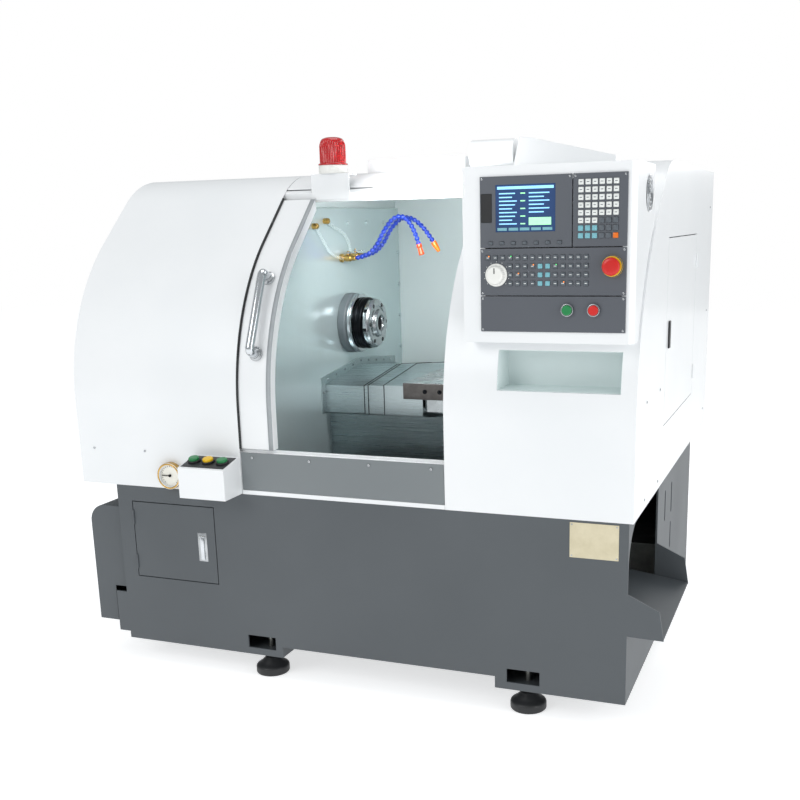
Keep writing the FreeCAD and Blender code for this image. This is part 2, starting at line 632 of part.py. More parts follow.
def side_door():
    """The electrical cabinet's door in the right end, hinged at the back, and its lever."""
    y = span("side_door_y", "side_door_width")
    z = span("side_door_z", "side_door_height")
    pan = cut("side_pan", box("side_outer", ("cover_right - door_fold", "cover_right"), y, z),
              box("side_inner", ("cover_right - door_fold - 1", "cover_right - 2"),
                  ("side_door_y + 2", "side_door_y + side_door_width - 2"),
                  ("side_door_z + 2", "side_door_z + side_door_height - 2")))
    barrels = [rod("side_barrel_%d" % (10 * at), "z",
                   ("cover_right + hinge_radius - 0.5", "side_door_y + side_door_width",
                    "side_door_z + side_door_height * %s" % at), "hinge_radius", "hinge_length")
               for at in (0.1, 0.8)]
    node("electrical_door", fuse("side_door", pan, *barrels))
    node("electrical_latch", box("side_lever", ("cover_right + running_gap", "cover_right + latch_thickness"),
                                 span("side_door_y + latch_inset", "latch_width"),
                                 span("side_door_z + 240", "latch_height")))


def electrical_panel():
    """The cabinet's back plate with its drives, breakers and terminal rails."""
    back = box("panel_plate", span("cabinet_x", "sheet_wall"),
               ("side_door_y + 20", "side_door_y + side_door_width - 30"),
               ("side_door_z + 20", "side_door_z + side_door_height - 20"))
    x = span("cabinet_x + sheet_wall", "55")
    parts = [back]
    for index in range(3):
        parts.append(box("drive_%d" % index, x, span("side_door_y + 60 + %d" % (110 * index), "80"),
                         span("side_door_z + 300", "220")))
    parts.append(box("supply", x, span("side_door_y + 420", "150"), span("side_door_z + 330", "180")))
    for row in range(2):
        parts.append(box("breaker_row_%d" % row, x, span("side_door_y + 60", "480"),
                         span("side_door_z + 60 + %d" % (110 * row), "70")))
    return node("electrical_panel", group("cabinet_parts", *parts))


# ---------------------------------------------------------------- sliding door

def sliding_door():
    """The curved door: a pan with guide shoes, a clear pane behind its opening, and a tube handle."""
    x = ("door_left", "window_left")
    inner = "door_offset + sheet_wall"
    back = "door_offset + door_depth"
    outer = slant_block("door_outer", "door_offset", x, "door_bottom")
    rear_space = slant_block("door_rear_space", back, ("door_left - 1", "window_left + 1"), "door_bottom - 1",
                             "rear + 1")
    room = slant_block("door_room", inner, ("door_left + sheet_wall", "window_left - sheet_wall"),
                       "door_bottom + sheet_wall", "rear + 1")
    top = box("door_top_cut", ("door_left - 1", "window_left + 1"), ("front + door_top_setback", "rear + 2"),
              ("door_bottom - 2", "cover_top + 1"))
    hole = box("pane_hole", ("door_left + door_border", "door_line"),
               ("front - 1", "front + door_top_setback - 40"), ("door_bottom + 100", "cover_top"))
    pan = cut("door_pan", outer, rear_space, room, top, hole)
    shoes = []
    for index, at in enumerate(("door_left + 70", "door_line - 80")):
        block = box("shoe_%d" % index, span(at, "60"),
                    about("front + door_offset + door_depth / 2", "rail_width / 2 + 5"),
                    ("sill_top + running_gap", "door_bottom"))
        groove = box("shoe_groove_%d" % index, ("%s - 1" % at, "%s + 61" % at),
                     about("front + door_offset + door_depth / 2", "rail_width / 2 + running_gap"),
                     ("sill_top - 1", "sill_top + rail_height + running_gap"))
        shoes.append(cut("shoe_cut_%d" % index, block, groove))
    node("door_shell", group("door", pan, *shoes))
    pane = cut("pane_cut", slant_block("pane_outer", inner, ("door_left + door_border - pane_lap",
                                                            "door_line + pane_lap"),
                                       "door_bottom + 100 - pane_lap"),
               slant_block("pane_inner", inner + " + pane_thickness",
                           ("door_left", "window_left"), "door_bottom - 1", "rear + 1"),
               box("pane_top", ("door_left", "window_left"), ("front + door_top_setback - 25", "rear + 2"),
                   ("door_bottom - 2", "cover_top + 1")))
    node("door_window", pane)
    node("door_handle", door_handle())


def door_handle():
    """One bent tube whose ends stand square off the door's bend, each on a round flange."""
    seats = []
    for height in ("handle_low", "handle_high"):
        rise = value("base_top + %s - bend_start" % height)
        turn = math.asin(max(-1, min(1, rise / value("bend_radius - door_offset"))))
        out = Vector(0, -math.cos(turn), math.sin(turn))
        centre = Vector(value("window_left - handle_margin"), value("bend_y"), value("bend_start"))
        seats.append((centre + out * value("bend_radius - door_offset"), out))
    stand = value("handle_standoff")
    points = [seats[0][0], seats[0][0] + seats[0][1] * stand, seats[1][0] + seats[1][1] * stand, seats[1][0]]
    shape = tube("handle", points, value("handle_radius"))
    for seat, out in seats:
        shape = shape.fuse(Part.makeCylinder(value("handle_radius") + 6, 8, seat, out))
    handle = doc.addObject("Part::Feature", "handle_shape")
    handle.Shape = shape
    return handle


# ---------------------------------------------------------------- control pendant

def pendant_box():
    """The sheet-metal box on the right column, with its cooling fan's frame in the right side."""
    def block(name, wall, back):
        return plate(name, "XY", "pendant_bottom + (%s)" % wall, "pendant_height - 2 * (%s)" % wall, [
            ("pendant_left + (%s)" % wall, "pendant_front + (%s)" % wall),
            ("pendant_right - pendant_chamfer - (%s)" % wall, "pendant_front + (%s)" % wall),
            ("pendant_right - (%s)" % wall, "pendant_front + pendant_chamfer + (%s)" % wall),
            ("pendant_right - (%s)" % wall, back), ("pendant_left + (%s)" % wall, back)])

    depth = "pendant_front + pendant_depth"
    opening = box("panel_opening", ("display_x + 12", "panel_right - 12"),
                  ("pendant_front - 1", "pendant_front + sheet_wall + 1"),
                  ("lower_z + 12", "display_top - 12"))
    wedge = box("corner_relief", ("pendant_left - 1", "pendant_left + sheet_wall"), ("front + 25", depth),
                ("pendant_bottom + sheet_wall", "pendant_bottom + 120"))
    fan_hole = rod("fan_hole", "x", ("pendant_right - sheet_wall - 1", fan_y(), fan_z()), "fan_radius + 2",
                   "sheet_wall + 2")
    shell = cut("pendant_shell", block("pendant_outer", 0, depth),
                block("pendant_inner", "sheet_wall", depth + " - sheet_wall"),
                slant_block("pendant_back", 0, ("column_left - 1", "cover_right + 1"), "base_top", "rear"),
                opening, wedge, fan_hole)
    frame = cut("fan_frame", box("fan_block", ("pendant_right - sheet_wall - fan_depth",
                                               "pendant_right - sheet_wall"),
                                 about(fan_y(), "fan_radius + 8"), about(fan_z(), "fan_radius + 8")),
                rod("fan_bore", "x", ("pendant_right - sheet_wall - fan_depth - 1", fan_y(), fan_z()),
                    "fan_radius + 1", "fan_depth + 2"))
    spider = box("fan_spider", span("pendant_right - sheet_wall - fan_depth", "3"),
                 about(fan_y(), "fan_radius + 4"), about(fan_z(), "5"))
    return node("pendant_box", group("pendant", shell, fuse("fan_mount", frame, spider)))


def fan_y():
    return "front + fan_setback"


def fan_z():
    return "pendant_top - 80"


def fan_rotor():
    """Seven pitched blades on a hub."""
    start = "pendant_right - sheet_wall - fan_depth + 3 + running_gap"
    length = "fan_depth - 5"
    parts = [rod("fan_hub", "x", (start, fan_y(), fan_z()), "17", length)]
    for index in range(7):
        blade = doc.addObject("Part::Box", "fan_blade_%d" % index)
        turn = Rotation(Vector(1, 0, 0), 360 * index / 7) * Rotation(Vector(0, 0, 1), 30)
        blade.Placement = Placement(Vector(), turn)
        bind(blade, Length="2", Width="18", Height="fan_radius - 2")
        shift = turn.multVec(Vector(-1, -9, 14))
        bind(blade, base_x=start + " + (%s) / 2 + %.6f" % (length, shift.x), base_y=fan_y() + " + %.6f" % shift.y,
             base_z=fan_z() + " + %.6f" % shift.z, Height="fan_radius - 16")
        parts.append(blade)
    return node("fan_rotor", fuse("rotor", *parts))


def display_unit():
    """The display's bezel with a recessed screen, and the small hinged flap beside it."""
    x = span("display_x", "display_width")
    z = ("display_z", "display_top")
    screen_x = span("display_x + 44", "screen_width")
    screen_z = ("display_top - 22 - screen_height", "display_top - 22")
    flap_x = span("display_x + 3", "30")
    flap_z = ("display_top - 120", "display_top - 45")
    bezel = cut("bezel", box("bezel_plate", x, ("face_y", "pendant_front"), z),
                box("screen_cut", screen_x, ("face_y - 1", "pendant_front - 1"), screen_z),
                box("flap_cut", ("display_x + 2.5", "display_x + 33.5"), ("face_y - 1", "pendant_front - 1"),
                    ("display_top - 120.5", "display_top - 44.5")))
    keys = soft_key_places()
    node("display_bezel", cut("bezel_cut", bezel, *[key_box("soft_hole_%d" % index, x, z, 12.6, 8.6, True)
                                                    for index, (x, z) in enumerate(keys)]))
    node("screen", box("screen_glass", screen_x, ("face_y + 1.5", "pendant_front - 1"), screen_z))
    node("card_flap", box("flap", flap_x, ("face_y", "pendant_front - 1.5"), flap_z))


def soft_key_places():
    return [("display_x + 30 + %d" % (32 * index), "display_z + 12") for index in range(7)]


def keypad_places():
    return [("keypad_x + 21 + key_pitch_x * %d" % column, "display_top - 22 - key_pitch_z * %d" % row)
            for row in range(8) for column in range(6)]


def control_places():
    """Key centres on the middle panel: a full top row, and rows that leave room for the knobs."""
    places = []
    for row in range(4):
        for column in range(14):
            if row == 0 or column > 2:
                places.append(("display_x + 22 + control_pitch_x * %d" % column,
                               "middle_top - 24 - control_pitch_z * %d" % row))
    return places


def key_box(name, x, z, width, height, hole=False):
    """A key of the panel, or the hole that it slides in."""
    if hole:
        return box(name, about(x, "(%s) / 2" % width), ("face_y - 1", "pendant_front + 1"),
                   about(z, "(%s) / 2" % height))
    return box(name, about(x, "(%s) / 2" % width), ("face_y - key_proud", "pendant_front - 0.5"),
               about(z, "(%s) / 2" % height))


def panel_plates():
    """The keypad plate, the middle control plate with the stop button's collar, and the lower plate."""
    fit = 0.6
    thick = ("face_y", "pendant_front")
    keypad = cut("keypad_plate", box("keypad_sheet", span("keypad_x", "keypad_width"), thick,
                                     ("display_z", "display_top")),
                 *[key_box("keypad_hole_%d" % index, x, z, "key_size + %s" % fit, "key_size + %s" % fit, True)
                   for index, (x, z) in enumerate(keypad_places())])
    middle = cut("middle_plate", box("middle_sheet", ("display_x", "panel_right"), thick,
                                     ("middle_z", "middle_top")),
                 *[key_box("control_hole_%d" % index, x, z, "control_key + %s" % fit,
                           "control_key + %s" % fit, True) for index, (x, z) in enumerate(control_places())],
                 rod("knob_hole", "y", (knob_place()[0], "face_y - 1", knob_place()[1]), "6.1", "8"),
                 rod("stop_hole", "y", (stop_place()[0], "face_y - 1", stop_place()[1]), "12.3", "8"))
    lower = cut("lower_plate", box("lower_sheet", ("display_x", "panel_right"), thick,
                                   ("lower_z", "lower_top")),
                *[rod("lower_hole_%d" % index, "y", (x, "face_y - 1", z), "10.3", "8")
                  for index, (x, z) in enumerate(lower_places())])
    rings = []
    for index, (x, z) in enumerate(lower_places()):
        rings.append(ring("button_ring_%d" % index, x, z, "button_radius + 4", "button_radius + 0.3", "8"))
    rings.append(ring("stop_collar", stop_place()[0], stop_place()[1], "estop_radius + 5", "13.3", "6"))
    return node("panel_plates", group("plates", keypad, middle, lower, *rings))


def ring(name, x, z, outer, inner, length):
    """A collar that stands on the panel's face round a button."""
    return cut(name, rod(name + "_outer", "y", (x, "face_y - (%s)" % length, z), outer, length),
               rod(name + "_inner", "y", (x, "face_y - (%s) - 1" % length, z), inner, "%s + 2" % length))


def knob_place():
    return ("display_x + 46", "middle_top - 70")


def stop_place():
    return ("panel_right - 38", "middle_top - 49")


def lower_places():
    return (("display_x + 245", "lower_top - 36"), ("display_x + 317", "lower_top - 36"))


def round_button(name, x, z, radius, height, stem, travel):
    """A push button: a cap that stands off the face by its travel, and a stem through the plate."""
    cap = rod(name + "_cap", "y", (x, "face_y - (%s) - (%s)" % (height, travel), z), radius, height)
    shaft = rod(name + "_stem", "y", (x, "face_y - (%s) - 0.5" % travel, z), stem, "(%s) + 4" % travel)
    return node(name, fuse(name + "_all", cap, shaft))


def panel_controls():
    """Keys, the override knob and the push buttons."""
    node("keypad_keys", group("keypad", *[
        key_box("key_%d" % index, x, z, "key_size", "key_size")
        for index, (x, z) in enumerate(keypad_places())]))
    controls = [key_box("control_%d" % index, x, z, "control_key", "control_key")
                for index, (x, z) in enumerate(control_places())]
    soft = [key_box("soft_%d" % index, x, z, "12", "8") for index, (x, z) in enumerate(soft_key_places())]
    node("panel_keys", group("controls", *controls, *soft))
    x, z = knob_place()
    skirt = rod("knob_skirt", "y", (x, "face_y - knob_height", z), "knob_radius", "knob_height - running_gap")
    node("override_knob", fuse("knob", skirt, rod("knob_shaft", "y", (x, "face_y - 1", z), "6", "5")))
    x, z = stop_place()
    round_button("estop_button", x, z, "estop_radius", "14", "12", "11")
    for name, (x, z) in zip(("start_button", "stop_button"), lower_places()):
        round_button(name, x, z, "button_radius", "8", "10", "5")


# ---------------------------------------------------------------- button station and gauge

def button_station():
    """The small white box at the left of the sill, its slanted plate and three buttons, and a gauge."""
    top = "base_top + station_height"
    outline = [("front - station_reach", "base_top"), ("front", "base_top"),
               ("front", top + " + station_rake"), ("front - station_reach", top)]
    inner = [("front - station_reach + 3", "base_top + 3"), ("front - 3", "base_top + 3"),
             ("front - 3", top + " + station_rake - 4"), ("front - station_reach + 3", top + " - 4")]
    body = cut("station_body", plate("station_outer", "YZ", "station_x", "station_width", outline),
               plate("station_inner", "YZ", "station_x + 3", "station_width - 6", inner))
    gauge = cut("gauge_case", rod("gauge_outer", "y", ("gauge_x", "front - gauge_depth", "gauge_z"),
                                  "gauge_radius", "gauge_depth"),
                rod("gauge_bowl", "y", ("gauge_x", "front - gauge_depth - 1", "gauge_z"), "gauge_radius - 8",
                    "gauge_depth - 5"))
    hub = rod("gauge_pivot", "y", ("gauge_x", "front - gauge_depth + 8", "gauge_z"), "2", "gauge_depth - 10")
    buttons = []
    holes = []
    for index, name in enumerate(("station_button_left", "station_button_middle", "station_button_right")):
        at = ("station_x + 32 + %d" % (52 * index), "front - station_reach / 2", "station_top")
        buttons.append((name, fuse(name + "_all",
                                   tilted(name + "_cap", at, "station_button", "11", "5"),
                                   tilted(name + "_stem", at, "8", "12", "-6"))))
        holes.append(tilted(name + "_hole", at, "8.3", "30", "-20"))
    node("station_box", group("station", cut("station_holes", body, *holes), fuse("gauge", gauge, hub)))
    for name, thing in buttons:
        node(name, thing)
    needle = fuse("needle", cut("needle_boss", rod("needle_hub", "y", ("gauge_x", "front - gauge_depth + 5",
                                                                        "gauge_z"), "4.5", "4"),
                                rod("needle_bore", "y", ("gauge_x", "front - gauge_depth + 4", "gauge_z"),
                                    "2.05", "6")),
                  box("needle_hand", ("gauge_x - gauge_radius + 14", "gauge_x - 4"),
                      span("front - gauge_depth + 6", "1.5"), about("gauge_z", "1.2")))
    node("gauge_needle", needle)


def tilted(name, at, radius, length, lift):
    """A cylinder square to the station's slanted plate, lifted along its own axis."""
    slope = math.atan2(value("station_rake"), value("station_reach"))
    cylinder = doc.addObject("Part::Cylinder", name)
    cylinder.Placement = Placement(Vector(), Rotation(Vector(1, 0, 0), math.degrees(slope)))
    bind(cylinder, Radius=radius, Height=length)
    lean = "atan(station_rake / station_reach)"
    return place(cylinder, at[0], "%s - (%s) * sin(%s)" % (at[1], lift, lean),
                 "%s + (%s) * cos(%s)" % (at[2], lift, lean))


# ---------------------------------------------------------------- headstock and drive

def headstock():
    """The headstock casting with bored bearing seats, its two bearings and the front bearing cap."""
    x = ("headstock_x", "plate_x - sheet_wall")
    casting = box("casting", x, about("spindle_y", "headstock_width / 2"),
                  ("base_top", "spindle_z + headstock_over"))
    window = box("casting_window", ("headstock_x + 40", "plate_x - 60"),
                 ("spindle_y - headstock_width", "spindle_y + headstock_width"),
                 ("base_top + 40", "spindle_z - bore_radius - 45"))
    bore = rod("casting_bore", "x", ("headstock_x - 1", "spindle_y", "spindle_z"), "bore_radius",
               "headstock_length + 2")
    rings = []
    for index, at in enumerate(("headstock_x + 8", "plate_x - sheet_wall - 8 - bearing_width")):
        rings.append(cut("bearing_%d" % index, rod("race_%d" % index, "x", (at, "spindle_y", "spindle_z"),
                                                   "bore_radius", "bearing_width"),
                         rod("race_bore_%d" % index, "x", ("%s - 1" % at, "spindle_y", "spindle_z"),
                             "shaft_radius + running_fit", "bearing_width + 2")))
    cap = turned("bearing_cap", "x", ("plate_x - sheet_wall", "spindle_y", "spindle_z"), [
        (0, "shaft_radius + 1"), ("sheet_wall + wall_plate + cap_length", "shaft_radius + 1"),
        ("sheet_wall + wall_plate + cap_length", "cap_radius - 6"),
        ("sheet_wall + wall_plate + cap_length - 6", "cap_radius"), ("sheet_wall + wall_plate", "cap_radius"),
        ("sheet_wall + wall_plate", "bore_radius + 28"), (0, "bore_radius + 28")])
    return node("headstock", group("head", cut("casting_cut", casting, window, bore), cap, *rings))


def spindle_group():
    """The hollow spindle with its pulley, and the collet chuck's body, clamping ring and nose."""
    tail = "headstock_x - 10 - pulley_width"
    shaft = turned("spindle_bar", "x", (tail, "spindle_y", "spindle_z"), [
        (0, "through_radius"), ("cap_x - (%s) + 1" % tail, "through_radius"),
        ("cap_x - (%s) + 1" % tail, "shaft_radius"), (0, "shaft_radius")])
    pulley = turned("spindle_pulley", "x", (tail, "spindle_y", "spindle_z"), [
        (0, "shaft_radius"), ("pulley_width", "shaft_radius"), ("pulley_width", "pulley_radius + 8"),
        ("pulley_width - 4", "pulley_radius + 8"), ("pulley_width - 4", "pulley_radius"),
        (4, "pulley_radius"), (4, "pulley_radius + 8"), (0, "pulley_radius + 8")])
    node("spindle_shaft", group("spindle", shaft, pulley))
    back = turned("chuck_flange", "x", ("cap_x + 1", "spindle_y", "spindle_z"), [
        (0, "through_radius"), ("flange_length + ring_length", "through_radius"),
        ("flange_length + ring_length", "ring_radius - 14"), ("flange_length", "ring_radius - 14"),
        ("flange_length", "flange_radius - 4"), ("flange_length - 4", "flange_radius"), (0, "flange_radius")])
    node("chuck_body", back)
    node("chuck_ring", turned("clamp_ring", "x", ("cap_x + 1 + flange_length", "spindle_y", "spindle_z"), [
        (0, "ring_radius - 14"), ("ring_length", "ring_radius - 14"), ("ring_length", "ring_radius - 3"),
        ("ring_length - 3", "ring_radius"), (3, "ring_radius"), (0, "ring_radius - 3")]))
    nose = turned("chuck_nose", "x", ("cap_x + 1 + flange_length + ring_length", "spindle_y", "spindle_z"), [
        (0, "through_radius"), ("face_length + nose_length", "through_radius"),
        ("face_length + nose_length", "nose_radius - 5"), ("face_length", "nose_radius"),
        ("face_length", "face_radius - 6"), ("face_length - 6", "face_radius"), (0, "face_radius")])
    node("collet", nose)


def spindle_drive():
    """The motor on its bracket in the base, its pulley, and the belt up to the spindle."""
    tail = "headstock_x - 10 - pulley_width"
    motor_x = "headstock_x + 10"
    body = rod("motor_body", "x", (motor_x, "spindle_y", "motor_z"), "motor_radius", "motor_length")
    flange = box("motor_flange", span("headstock_x - 4", "14"), about("spindle_y", "motor_radius + 10"),
                 ("foot_height + floor_plate", "motor_z + motor_radius + 10"))
    hole = rod("motor_shaft_hole", "x", ("headstock_x - 5", "spindle_y", "motor_z"), "shaft_stub + 2", "20")
    feet = box("motor_feet", span(motor_x, "motor_length"), about("spindle_y", "motor_radius - 20"),
               ("foot_height + floor_plate", "motor_z - motor_radius + 20"))
    node("spindle_motor", fuse("motor", cut("flange_cut", flange, hole), cut("feet_cut", feet, rod(
        "feet_round", "x", (motor_x + " - 1", "spindle_y", "motor_z"), "motor_radius", "motor_length + 2")),
        cut("body_cut", body, rod("body_bore", "x", (motor_x + " - 1", "spindle_y", "motor_z"),
                                  "shaft_stub + running_fit", "60"))))
    pulley = turned("drive_pulley", "x", (tail, "spindle_y", "motor_z"), [
        (0, 0), ("pulley_width + 60", 0), ("pulley_width + 60", "shaft_stub"), ("pulley_width", "shaft_stub"),
        ("pulley_width", "pulley_radius + 8"), ("pulley_width - 4", "pulley_radius + 8"),
        ("pulley_width - 4", "pulley_radius"), (4, "pulley_radius"), (4, "pulley_radius + 8"),
        (0, "pulley_radius + 8")])
    node("motor_pulley", pulley)

    def loop(name, radius, inset):
        """A round-ended bar that fills the belt's path out to a radius from both shafts."""
        x, width = tail + " + " + str(inset), "pulley_width - 2 * %s" % inset
        return fuse(name, rod(name + "_low", "x", (x, "spindle_y", "motor_z"), radius, width),
                    rod(name + "_high", "x", (x, "spindle_y", "spindle_z"), radius, width),
                    box(name + "_run", span(x, width), about("spindle_y", radius), ("motor_z", "spindle_z")))

    node("drive_belt", cut("belt", loop("belt_outer", "pulley_radius + running_gap + belt_thickness", 6),
                           loop("belt_inner", "pulley_radius + running_gap", 5)))


# ---------------------------------------------------------------- slides

def gable(step, wall):
    """The way covers' end view: an upright front, a low ridge and an upright back."""
    grow = "nest_step * %d - (%s)" % (step, wall)
    low = "base_top + shoulder_rise - cover_skirt"
    return [("front + cover_front - (%s)" % grow, low), ("front + cover_front - (%s)" % grow,
                                                        "base_top + shoulder_rise + (%s)" % grow),
            ("front + cover_ridge", "base_top + shoulder_rise + ridge_rise + (%s)" % grow),
            ("front + cover_back + (%s)" % grow, "base_top + shoulder_rise + (%s)" % grow),
            ("front + cover_back + (%s)" % grow, low)]


def gable_cover(name, step, x):
    """One folded section of the telescopic way cover; each step nests over the one before."""
    length = "(%s) - (%s)" % (x[1], x[0])
    inner = gable(step, "way_sheet")
    low = "base_top + shoulder_rise - cover_skirt - 1"
    inner[0] = (inner[0][0], low)
    inner[-1] = (inner[-1][0], low)
    return cut(name, plate(name + "_outer", "YZ", x[0], length, gable(step, 0)),
               plate(name + "_inner", "YZ", x[0] + " - 1", length + " + 2", inner))


def bed():
    """The bed casting with both Z rails, the screw's end blocks and motor, and the fixed way covers."""
    x = ("wall_x", "wall_x + bed_length")
    casting = cut("bed_block", box("bed_outer", x, span("bed_y", "bed_depth"), ("base_top", "bed_top")),
                  box("bed_room", ("wall_x + 40", "wall_x + bed_length - 40"),
                      ("bed_y + 40", "bed_y + bed_depth - 40"), ("base_top - 1", "bed_top - 40")))
    rails = [box("z_rail_%d" % index, ("wall_x + 20", "wall_x + bed_length - 10"),
                 about(y, "rail_size / 2"), span("bed_top", "rail_size - 4"))
             for index, y in enumerate(("rail_front", "rail_back"))]
    blocks = []
    for index, at in enumerate(("wall_x + 40", "wall_x + bed_length - 60")):
        blocks.append(cut("screw_block_%d" % index, box("screw_mount_%d" % index, span(at, "30"),
                                                        about("screw_y", "35"), ("bed_top", "screw_z + 26")),
                          rod("screw_seat_%d" % index, "x", ("%s - 1" % at, "screw_y", "screw_z"),
                              "screw_radius + running_fit", "32")))
    motor = box("z_motor", span("wall_x + bed_length - 30", "servo_length"),
                about("screw_y", "servo_size / 2"), about("screw_z + 22", "servo_size / 2"))
    seat = rod("z_motor_seat", "x", ("wall_x + bed_length - 30", "screw_y", "screw_z"), "screw_radius + 1",
               "30")
    inner = gable_cover("inner_way_cover", 0, ("wall_x", "wall_x + inner_cover_length"))
    right = gable_cover("right_way_cover", 2, ("wall_x + right_cover_start", "cabinet_x - sheet_wall"))
    return node("bed", group("bed_parts", casting, *rails, *blocks, cut("z_motor_cut", motor, seat), inner,
                             right))


def screw(name, axis, start, length):
    return node(name, rod(name + "_bar", axis, start, "screw_radius", length))


def saddle():
    """The saddle: its plate on four blocks, the X rails, the cross screw's blocks and motor, and covers."""
    x = span("saddle_x", "saddle_length")
    body = box("saddle_plate", x, span("saddle_y", "saddle_depth"), ("saddle_z", "saddle_top"))
    parts = [body]
    for row, y in enumerate(("rail_front", "rail_back")):
        for column, at in enumerate(("saddle_x + 10", "saddle_x + saddle_length - 80")):
            parts.append(cut("z_block_%d%d" % (row, column), box("z_block_body_%d%d" % (row, column),
                                                                  span(at, "70"), about(y, "block_width / 2"),
                                                                  ("bed_top + 4", "saddle_z")),
                             box("z_block_way_%d%d" % (row, column), ("%s - 1" % at, "%s + 71" % at),
                                 about(y, "rail_size / 2 + running_fit"),
                                 ("bed_top", "bed_top + rail_size - 4 + running_fit"))))
    nut = cut("z_nut", box("z_nut_body", about("cross_x", "30"), about("screw_y", "24"),
                           ("screw_z - 17", "saddle_z")),
              rod("z_nut_bore", "x", ("cross_x - 31", "screw_y", "screw_z"), "screw_radius + running_fit", "62"))
    parts.append(nut)
    for index, at in enumerate(cross_rails()):
        parts.append(box("x_rail_%d" % index, about(at, "rail_size / 2"),
                         ("saddle_y + 4", "saddle_y + saddle_depth - 4"),
                         span("saddle_top", "rail_size - 4")))
    for index, at in enumerate(("saddle_y + 2", "saddle_y + saddle_depth - 32")):
        parts.append(cut("cross_block_%d" % index, box("cross_mount_%d" % index, about("cross_x", "28"),
                                                       span(at, "30"), ("saddle_top", "cross_z + 15")),
                         rod("cross_seat_%d" % index, "y", ("cross_x", "%s - 1" % at, "cross_z"),
                             "screw_radius + running_fit", "32")))
    parts.append(box("x_motor", about("cross_x", "servo_size / 2"),
                     span("saddle_y + saddle_depth", "servo_length"), about("cross_z - 6", "servo_size / 2")))
    left = gable_cover("saddle_cover_left", 3, ("wall_x + saddle_cover_start", "saddle_x"))
    right = gable_cover("saddle_cover_right", 3, ("saddle_x + saddle_length", "wall_x + saddle_cover_end"))
    return node("saddle", group("saddle_parts", *parts, left, right))


def cross_rails():
    return ("cross_x - 95", "cross_x + 95")


def cross_slide():
    """The T-slotted table on four blocks with its nut, and the tool bar across its front."""
    x = span("table_x", "table_length")
    slots = []
    for index, at in enumerate(("table_y + 90", "table_y + 200", "table_y + 310")):
        slots.append(box("slot_neck_%d" % index, ("table_x - 1", "table_x + table_length + 1"),
                         about(at, "6"), ("table_z + table_thickness - 16", "table_z + table_thickness + 1")))
        slots.append(box("slot_foot_%d" % index, ("table_x - 1", "table_x + table_length + 1"),
                         about(at, "11"), span("table_z + table_thickness - 22", "9")))
    table = cut("table", box("table_block", x, span("table_y", "table_depth"),
                             span("table_z", "table_thickness")), *slots)
    parts = [table]
    for column, at in enumerate(cross_rails()):
        for row, y in enumerate(("saddle_y + 70", "saddle_y + 200")):
            parts.append(cut("x_block_%d%d" % (column, row), box("x_block_body_%d%d" % (column, row),
                                                                  about(at, "block_width / 2"), span(y, "60"),
                                                                  ("saddle_top + 4", "table_z")),
                             box("x_block_way_%d%d" % (column, row), about(at, "rail_size / 2 + running_fit"),
                                 ("%s - 1" % y, "%s + 61" % y),
                                 ("saddle_top", "saddle_top + rail_size - 4 + running_fit"))))
    parts.append(cut("x_nut", box("x_nut_body", about("cross_x", "22"), span("saddle_y + 140", "50"),
                                  ("cross_z - 17", "table_z")),
                     rod("x_nut_bore", "y", ("cross_x", "saddle_y + 139", "cross_z"),
                         "screw_radius + running_fit", "52")))
    bar = box("tool_bar", x, span("table_y - bar_thickness", "bar_thickness"),
              ("table_z + table_thickness - bar_height", "table_z + table_thickness"))
    stop = box("bar_stop", span("table_x + 80", "90"), span("table_y - bar_thickness + 2", "20"),
               span("table_z + table_thickness - bar_height - 40", "40"))
    return node("cross_slide", group("slide_parts", *parts, bar, stop))


# ---------------------------------------------------------------- coolant

def coolant():
    """Two valves on the wall plate with their hoses, nozzles and feed tubes, and the valves' levers."""
    lines = []
    for index, y in enumerate(("spindle_y - 55", "spindle_y + 5")):
        z = "valve_z + %d" % (6 * index)
        start = Vector(value("wall_x"), value(y), value(z))
        body = rod("valve_body_%d" % index, "x", ("wall_x", y, z), "12", "valve_out")
        stem = rod("valve_stem_%d" % index, "z", ("wall_x + valve_out / 2", y, z), "4", "24")
        lines.append(fuse("valve_%d" % index, body, stem, hose_run("hose_%d" % index, start, index),
                          feed_run("feed_%d" % index, start, index)))
        name = ("valve_lever_front", "valve_lever_rear")[index]
        at = z + " + 16"
        hub = cut(name + "_hub", rod(name + "_boss", "z", ("wall_x + valve_out / 2", y, at), "7", "5"),
                  rod(name + "_bore", "z", ("wall_x + valve_out / 2", y, "%s - 1" % at), "4.05", "7"))
        arm = box(name + "_arm", ("wall_x + valve_out / 2 + 5", "wall_x + valve_out / 2 + lever_length"),
                  about(y, "4"), span(at, "3"))
        node(name, fuse(name + "_all", hub, arm))
    return node("coolant_lines", group("lines", *lines))


def tube(name, points, radius):
    """A round tube along straight runs joined by tangent arcs."""
    path = []
    here = points[0]
    for index in range(1, len(points) - 1):
        before = points[index] - points[index - 1]
        after = points[index + 1] - points[index]
        turn = before.getAngle(after)
        short = min(before.Length, after.Length)
        reach = 0.45 * short
        into = points[index] - Vector(before).normalize() * reach
        out = points[index] + Vector(after).normalize() * reach
        bend = reach / math.tan(turn / 2)
        inward = (Vector(after).normalize() - Vector(before).normalize()).normalize()
        centre = points[index] + inward * (bend / math.cos(turn / 2))
        middle = centre - inward * bend
        path.append(Part.LineSegment(here, into).toShape())
        path.append(Part.Arc(into, middle, out).toShape())
        here = out
    path.append(Part.LineSegment(here, points[-1]).toShape())
    wire = Part.Wire(path)
    start = points[1] - points[0]
    section = Part.Wire(Part.makeCircle(radius, points[0], start))
    shape = wire.makePipeShell([section], True, False, 2)
    return shape


